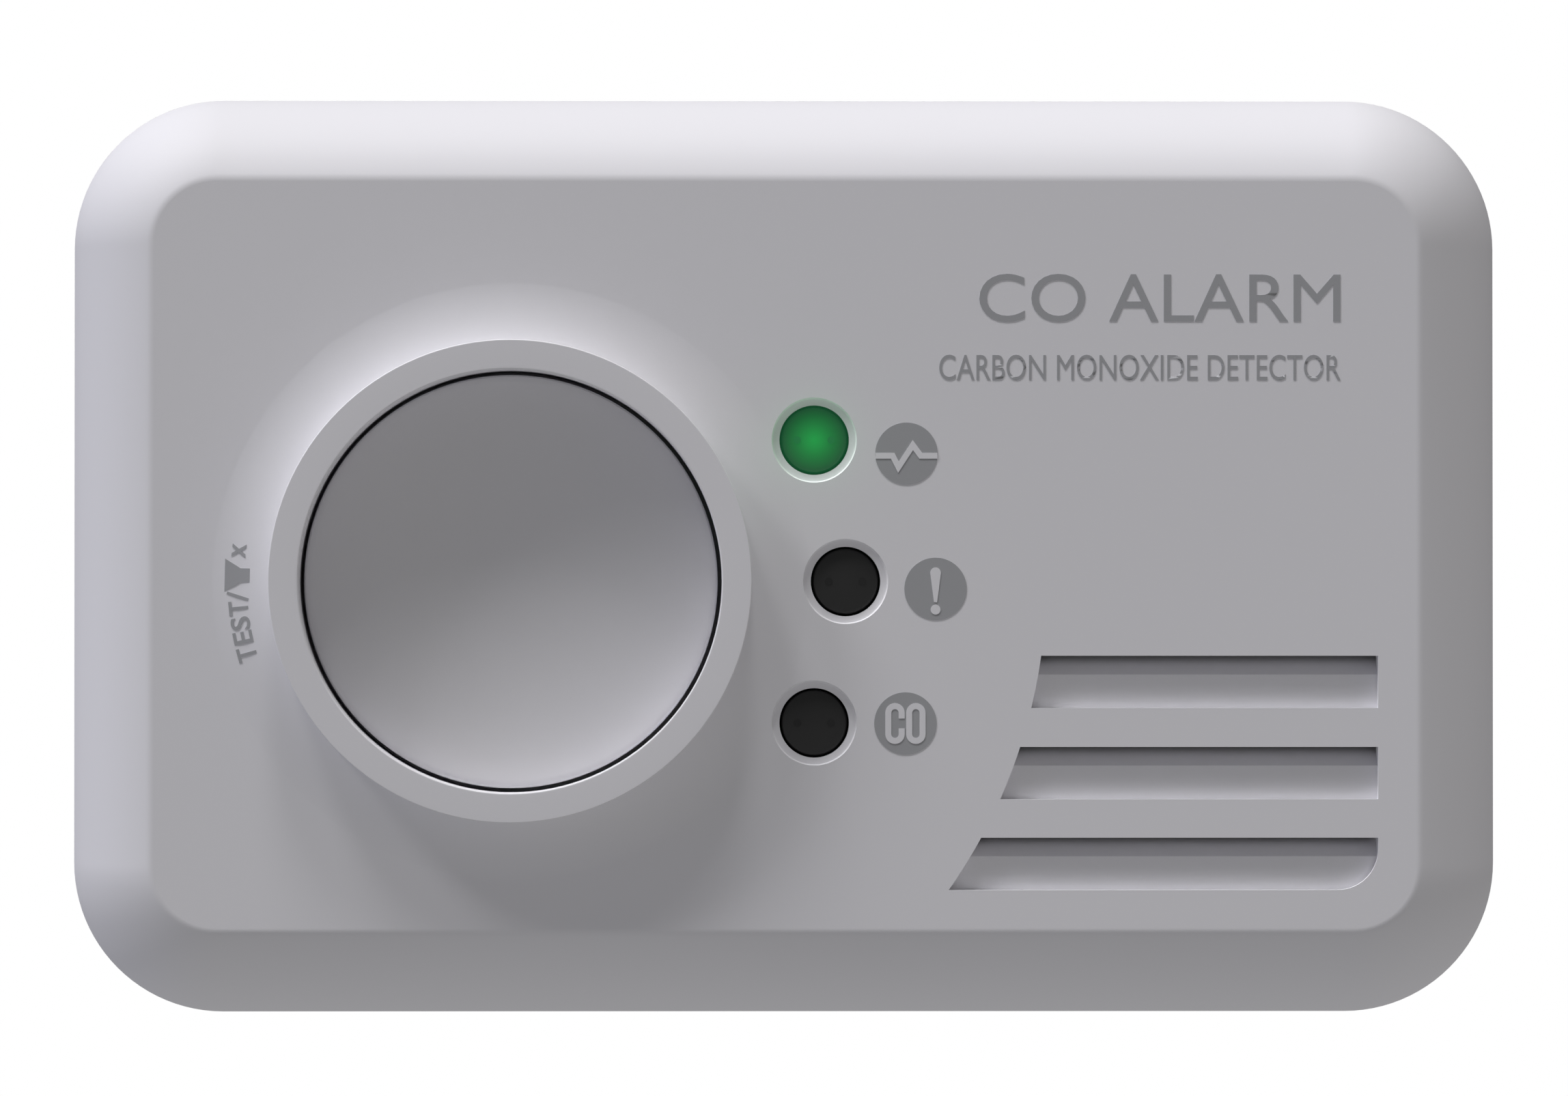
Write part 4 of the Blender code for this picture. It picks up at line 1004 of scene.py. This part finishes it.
def make_light(node, look, lead_look, slot):
    """A 5 mm flat-topped light with a flange, its two square leads, and their ends seen through the lens."""
    low, high = local_box(node)
    x, y, _ = (low + high) / 2
    top_z = high.z
    base_z = top_z - LED_HEIGHT
    bevel = LED_EDGE * ROUND_MIDDLE
    profile = [
        (0.0, top_z),
        (LED_RADIUS - LED_EDGE, top_z),
        (LED_RADIUS - bevel, top_z - bevel),
        (LED_RADIUS, top_z - LED_EDGE),
        (LED_RADIUS, base_z + LED_FLANGE),
        (LED_FLANGE_RADIUS, base_z + LED_FLANGE),
        (LED_FLANGE_RADIUS, base_z),
        (0.0, base_z),
    ]
    body = turned(profile, 0.0, 0.0, steps=64)
    half = LEAD_SIZE / 2
    leads = []
    for side in (-1, 1):
        lead_x = side * LEAD_PITCH / 2
        width = (lead_x - half, lead_x + half)
        leads.append(join(box(width, (-half, half), (low.z, base_z + LED_FLANGE / 2))))
    combine(body, leads)
    body.location = (x, y, 0.0)
    bpy.context.view_layer.update()
    show(body, f"shown_{node}", look, "case", slot, node)
    dots = [
        cylinder(LEAD_END_RADIUS, x + side * LEAD_PITCH / 2, y, (top_z - INK, top_z + INK), steps=24)
        for side in (-1, 1)
    ]
    show(fused(dots, "dots"), f"lead_ends_{node}", lead_look, "case", slot)


# ---- print ----


def icon_places():
    """Each printed icon stands to the right of its light, level with it or a little lower."""
    return [light + Vector(offset) for light, offset in zip(light_places(), ICON_OFFSETS)]


def on_face(outline, x, y):
    """A printed shape on top of an icon's disc."""
    shape = flat(outline, FACE_Z, FACE_Z + 2 * INK)
    shape.data.transform(Matrix.Translation((x, y, 0.0)))
    return shape


def stroke(points, width):
    """A line of constant width through these points, as an outline."""
    left = []
    right = []
    for i, point in enumerate(points):
        here = Vector(point)
        before = Vector(points[max(i - 1, 0)])
        after = Vector(points[min(i + 1, len(points) - 1)])
        ahead = (after - here).normalized() if i < len(points) - 1 else (here - before).normalized()
        behind = (here - before).normalized() if i else ahead
        across = Vector((-(ahead + behind).y, (ahead + behind).x)).normalized()
        reach = width / 2 / max(across.dot(Vector((-ahead.y, ahead.x))), MITRE_LIMIT)
        left.append(here + across * reach)
        right.append(here - across * reach)
    return [tuple(point) for point in left + right[::-1]]


def pulse_mark(x, y):
    """A heartbeat line across the disc."""
    reach = 0.00231
    level = -0.00015
    thickness = 0.00043
    line = [
        (-reach, level),
        (-0.00103, level),
        (-0.0006, -0.0010),
        (0.00048, 0.00065),
        (0.00107, level),
        (reach, level),
    ]
    return [on_face(stroke(line, thickness), x, y)]


def warning_mark(x, y):
    """An exclamation mark: a tapering bar over a dot."""
    steps = 12
    top_half = 0.0004
    top_y = 0.0012
    foot_half = 0.00012
    foot_y = -0.0010
    bar = [(foot_half, foot_y)]
    for step in range(steps + 1):
        turn = math.pi * step / steps
        bar.append((top_half * math.cos(turn), top_y + top_half * math.sin(turn)))
    bar.append((-foot_half, foot_y))
    dot_radius = 0.00037
    dot_y = -0.00155
    dot = []
    for step in range(2 * steps):
        turn = math.pi * step / steps
        dot.append((dot_radius * math.cos(turn), dot_y + dot_radius * math.sin(turn)))
    return [on_face(bar, x, y), on_face(dot, x, y)]


def gas_mark(x, y):
    """The letters CO, bold, tall and narrow: the O is a C that a short bar closes."""
    half_width = 0.0005
    straight = 0.0008
    opening = 0.00037
    thickness = 0.00045
    spread = 0.00078
    steps = 12
    turns = [math.pi * step / steps for step in range(steps + 1)]
    top = [(half_width * math.cos(turn), straight + half_width * math.sin(turn)) for turn in turns]
    bottom = [(-along, -up) for along, up in top]
    ends = [(half_width, opening), (half_width, -opening)]
    letter = stroke(ends[:1] + top + bottom + ends[1:], thickness)
    bar = stroke(ends, thickness)
    return [on_face(letter, x - spread, y), on_face(letter, x + spread, y), on_face(bar, x + spread, y)]


def make_icons():
    marks = (pulse_mark, warning_mark, gas_mark)
    discs = []
    symbols = []
    for (x, y), mark in zip(icon_places(), marks):
        discs.append(cylinder(ICON_RADIUS, x, y, (FACE_Z - INK, FACE_Z + INK), steps=96))
        symbols += mark(x, y)
    show(fused(discs, "discs"), "icon_discs", print_ink(), "case", "white_plastic")
    show(fused(symbols, "symbols"), "icon_symbols", white_plastic(), "case", "white_plastic")


def slope_frame(turn, radius):
    """A frame on the boss's flared foot: X along the circle, Y outwards and Z off the surface."""
    share = (radius - RING_RADIUS) / (FLARE_RADIUS - RING_RADIUS)
    z = FACE_Z + FLARE_HEIGHT * (1 - share) ** 2
    fall = math.atan(2 * FLARE_HEIGHT * (1 - share) / (FLARE_RADIUS - RING_RADIUS))
    outwards = Vector((math.cos(turn), math.sin(turn), 0.0))
    along = Vector((math.sin(turn), -math.cos(turn), 0.0))
    up = outwards * math.cos(fall) - Vector((0.0, 0.0, math.sin(fall)))
    off = along.cross(up)
    place = Vector((BUTTON_X, BUTTON_Y, z)) + outwards * radius
    return Matrix((
        (along.x, up.x, off.x, place.x),
        (along.y, up.y, off.y, place.y),
        (along.z, up.z, off.z, place.z),
        (0.0, 0.0, 0.0, 1.0),
    ))


def speaker_outline():
    """A loudspeaker that faces up: a short box that opens into a horn."""
    box_half = 0.00052
    horn_half = 0.00122
    half_length = 0.00095
    neck = -0.00025
    left = [(-horn_half, half_length), (-box_half, neck), (-box_half, -half_length)]
    return left + [(-x, y) for x, y in reversed(left)]


def make_button_marking():
    """The word TEST, a stroke, a speaker and a small cross, along the left of the boss."""
    letters = ((-15.4, "T", 0.00105), (-11.8, "E", 0.00092), (-8.8, "S", 0.00095), (-5.6, "T", 0.00105))
    marks = [
        (angle, words(letter, MARKING_HEIGHT, width, MARKING_WEIGHT)) for angle, letter, width in letters
    ]
    slash = flat(stroke([(-0.0003, -0.0008), (0.0003, 0.0008)], 0.0002), -INK, INK)
    speaker = flat(speaker_outline(), -INK, INK)
    cross = words("x", 0.00105, 0.0010, MARKING_WEIGHT)
    marks += [(-3.1, slash), (1.3, speaker), (6.5, cross)]
    for angle, mark in marks:
        mark.data.transform(slope_frame(math.pi - math.radians(angle), MARKING_CIRCLE))
    marking = fused([mark for _, mark in marks], "marking")
    show(marking, "test_marking", print_ink(), "case", "white_plastic")


def make_front_words():
    """Plain wording in the upper right of the faceplate."""
    title = words("CO ALARM", TITLE_HEIGHT, TITLE_WIDTH)
    title.data.transform(Matrix.Translation(TITLE_PLACE))
    line = words("CARBON MONOXIDE DETECTOR", LINE_HEIGHT, LINE_WIDTH)
    line.data.transform(Matrix.Translation(LINE_PLACE))
    show(fused([title, line], "front_words"), "front_words", print_ink(), "case", "white_plastic")


# ---- cells, screws and label ----


def make_cell(node, y, side):
    """One AA cell with its positive end on this side."""
    tip = BAY_HALF_LENGTH - 2 * GAP - CONTACT_THICKNESS - BUMP_HEIGHT
    shoulder = 0.0008
    bevel = shoulder * ROUND_MIDDLE
    middle = tip - CELL_NUB - CELL_LENGTH / 2 + CELL_NUB / 2
    profile = [
        (0.0, tip),
        (CELL_NUB_RADIUS, tip),
        (CELL_NUB_RADIUS, tip - CELL_NUB),
        (CELL_RADIUS - shoulder, tip - CELL_NUB),
        (CELL_RADIUS - bevel, tip - CELL_NUB - bevel),
        (CELL_RADIUS, tip - CELL_NUB - shoulder),
        (CELL_RADIUS, tip - CELL_LENGTH + shoulder),
        (CELL_RADIUS - shoulder, tip - CELL_LENGTH),
        (0.0, tip - CELL_LENGTH),
    ]
    cell = turned([(radius, z - middle) for radius, z in profile], 0.0, 0.0, steps=64)
    turn = Matrix.Rotation(side * math.pi / 2, 4, "Y")
    cell.matrix_world = Matrix.Translation((side * middle, y, CELL_Z)) @ turn
    bpy.context.view_layer.update()
    return show(cell, f"shown_{node}", cell_jacket(), "case", "cell_jacket", node)


def make_case_screw(number, x, y):
    """A pan-head screw with a cross recess, its head towards the back."""
    tip = 0.0010
    rounding = SCREW_HEAD / 3
    bevel = rounding * ROUND_MIDDLE
    head_z = SCREW_SEAT_Z - SCREW_HEAD
    profile = [
        (0.0, SCREW_END_Z),
        (SCREW_RADIUS * 0.4, SCREW_END_Z - tip / 4),
        (SCREW_RADIUS, SCREW_END_Z - tip),
        (SCREW_RADIUS, SCREW_SEAT_Z),
        (SCREW_HEAD_RADIUS, SCREW_SEAT_Z),
        (SCREW_HEAD_RADIUS, head_z + rounding),
        (SCREW_HEAD_RADIUS - bevel, head_z + bevel),
        (SCREW_HEAD_RADIUS - rounding, head_z),
        (0.0, head_z),
    ]
    screw = turned(profile, x, y, steps=40)
    slot_length = SCREW_HEAD_RADIUS * 0.62
    slot_width = SCREW_HEAD_RADIUS * 0.13
    depth = (head_z - SCREW_HEAD, head_z + SCREW_HEAD / 2)
    slots = [
        cut(box((x - half_x, x + half_x), (y - half_y, y + half_y), depth))
        for half_x, half_y in ((slot_length, slot_width), (slot_width, slot_length))
    ]
    combine(screw, slots)
    node = f"case_screw_{number}"
    return show(screw, f"shown_{node}", screw_steel(), "case", "screw_steel", node)


def make_label():
    outline = rounded_rectangle(LABEL_WIDTH / 2, LABEL_HEIGHT / 2, LABEL_CORNER, 8, (0.0, LABEL_Y))
    label = flat(outline, 0.0, LABEL_THICKNESS)
    show(label, "shown_rating_label", label_paper(), "case", "label_paper", "rating_label")
    lines = (
        ("CARBON MONOXIDE ALARM", 0.0018, 0.0026),
        ("POWER 3 V - TWO AA CELLS 1.5 V", 0.0013, -0.0002),
        ("PRESS THE TEST BUTTON ONCE A WEEK", 0.0013, -0.0028),
    )
    plates = []
    for text, height, rise in lines:
        plate = words(text, height)
        # seen from the back, so the line is turned about the vertical
        place = Matrix.Translation((0.0, LABEL_Y + rise, 0.0))
        plate.data.transform(place @ Matrix.Rotation(math.pi, 4, "Y"))
        plates.append(plate)
    show(fused(plates, "label_words"), "label_words", label_ink(), "case", "label_paper")


# ---- CAD nodes shown as they are ----


def finish_cad_nodes():
    """Give every other CAD node its own finish."""
    looks = {
        "tact_switch_body": (black_plastic, "black_plastic"),
        "tact_switch_plunger": (black_plastic, "black_plastic"),
        "main_pcb": (circuit_board, "circuit_board"),
        "co_sensor_can": (sensor_can, "sensor_can"),
        "co_sensor_cap": (black_plastic, "black_plastic"),
        "sounder_base": (black_plastic, "black_plastic"),
        "sounder_cap": (black_plastic, "black_plastic"),
        "piezo_disc": (brass_disc, "brass_disc"),
        "piezo_element": (piezo_ceramic, "piezo_ceramic"),
        "microcontroller": (chip_epoxy, "chip_epoxy"),
        "booster_coil": (coil_copper, "coil_copper"),
        "storage_capacitor": (capacitor_can, "capacitor_can"),
        "battery_contact_positive": (bright_steel, "spring_steel"),
        "battery_contact_negative": (bright_steel, "spring_steel"),
        "battery_contact_bridge": (bright_steel, "spring_steel"),
    }
    for number in range(1, 5):
        looks[f"pcb_screw_{number}"] = (screw_steel, "screw_steel")
    for node, (look, slot) in looks.items():
        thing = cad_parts[node]
        thing.data.materials.clear()
        thing.data.materials.append(look())


# ---- studio ----


def make_floor():
    """A wide pale floor: pure white to the camera, and a soft light from below."""
    reach = (-FLOOR_HALF, FLOOR_HALF)
    floor = box(reach, reach, (FLOOR_TOP - FLOOR_THICKNESS, FLOOR_TOP), "floor")
    floor.data.materials.append(floor_glow())


def make_sky():
    """An even white surround: pure white to the camera, and dim for the light it gives."""
    world = bpy.data.worlds.new("studio")
    world.use_nodes = True
    tree = world.node_tree
    tree.links.new(white_to_camera(tree, SKY_LIGHT), tree.nodes["Background"].inputs["Color"])
    bpy.context.scene.world = world


def make_lamp(name, direction, colour, strength, softness):
    """A far, soft light that shines from this direction."""
    lamp = bpy.data.lights.new(name, "SUN")
    lamp.energy = strength
    lamp.color = colour
    lamp.angle = softness
    holder = bpy.data.objects.new(name, lamp)
    holder.rotation_euler = Vector(direction).to_track_quat("Z", "Y").to_euler()
    bpy.context.scene.collection.objects.link(holder)


def make_lights():
    """Key lights from overhead to the upper left, a little in front, and a weak fill from each side."""
    for number, turn in enumerate(KEY_TURNS):
        turn = math.radians(turn)
        direction = (
            -math.cos(KEY_RISE) * math.sin(turn),
            -math.sin(KEY_RISE),
            math.cos(KEY_RISE) * math.cos(turn),
        )
        make_lamp(f"key_{number}", direction, KEY_COLOUR, KEY_STRENGTH, KEY_SOFTNESS)
    from_left = (-0.98, -0.05, 0.05)
    from_right = (0.94, -0.25, -0.1)
    make_lamp("left_fill", from_left, LEFT_FILL_COLOUR, LEFT_FILL_STRENGTH, FILL_SOFTNESS)
    make_lamp("right_fill", from_right, RIGHT_FILL_COLOUR, RIGHT_FILL_STRENGTH, FILL_SOFTNESS)


def make_glow():
    """The light that the lit lens spills on the plastic around it."""
    x, y = light_places()[0]
    lamp = bpy.data.lights.new("green_glow", "POINT")
    lamp.energy = GLOW_POWER
    lamp.color = GLOW_COLOUR
    lamp.shadow_soft_size = GLOW_SIZE
    holder = bpy.data.objects.new("green_glow", lamp)
    holder.location = UPRIGHT @ Vector((x, y, FACE_Z + GLOW_RISE))
    bpy.context.scene.collection.objects.link(holder)


def make_camera():
    aim = UPRIGHT @ Vector(CAMERA_AIM)
    place = Vector((CAMERA_X, aim.y - CAMERA_DISTANCE, CAMERA_Z))
    camera = bpy.data.cameras.new("camera")
    camera.lens = camera.sensor_width * CAMERA_DISTANCE / PICTURE_WIDTH
    holder = bpy.data.objects.new("camera", camera)
    holder.location = place
    holder.rotation_euler = (place - aim).to_track_quat("Z", "Y").to_euler()
    bpy.context.scene.collection.objects.link(holder)
    bpy.context.scene.camera = holder


make_front_cover()
make_rear_cover()
make_battery_door()
make_test_button()
make_button_spring()
make_light("power_led", lit_lens(), lead_green(), "green_led")
make_light("fault_led", dark_lens("amber_lens_look"), lead_dark(), "amber_led")
make_light("alarm_led", dark_lens("red_lens_look"), lead_dark(), "red_led")
make_icons()
make_button_marking()
make_front_words()
make_cell("battery_upper", CELL_Y[0], 1)
make_cell("battery_lower", CELL_Y[1], -1)
for screw_number, (screw_x, screw_y) in enumerate(case_screw_places(), start=1):
    make_case_screw(screw_number, screw_x, screw_y)
make_label()
finish_cad_nodes()
make_floor()
make_sky()
make_lights()
make_glow()
make_camera()
bpy.context.scene.view_settings.view_transform = "Standard"
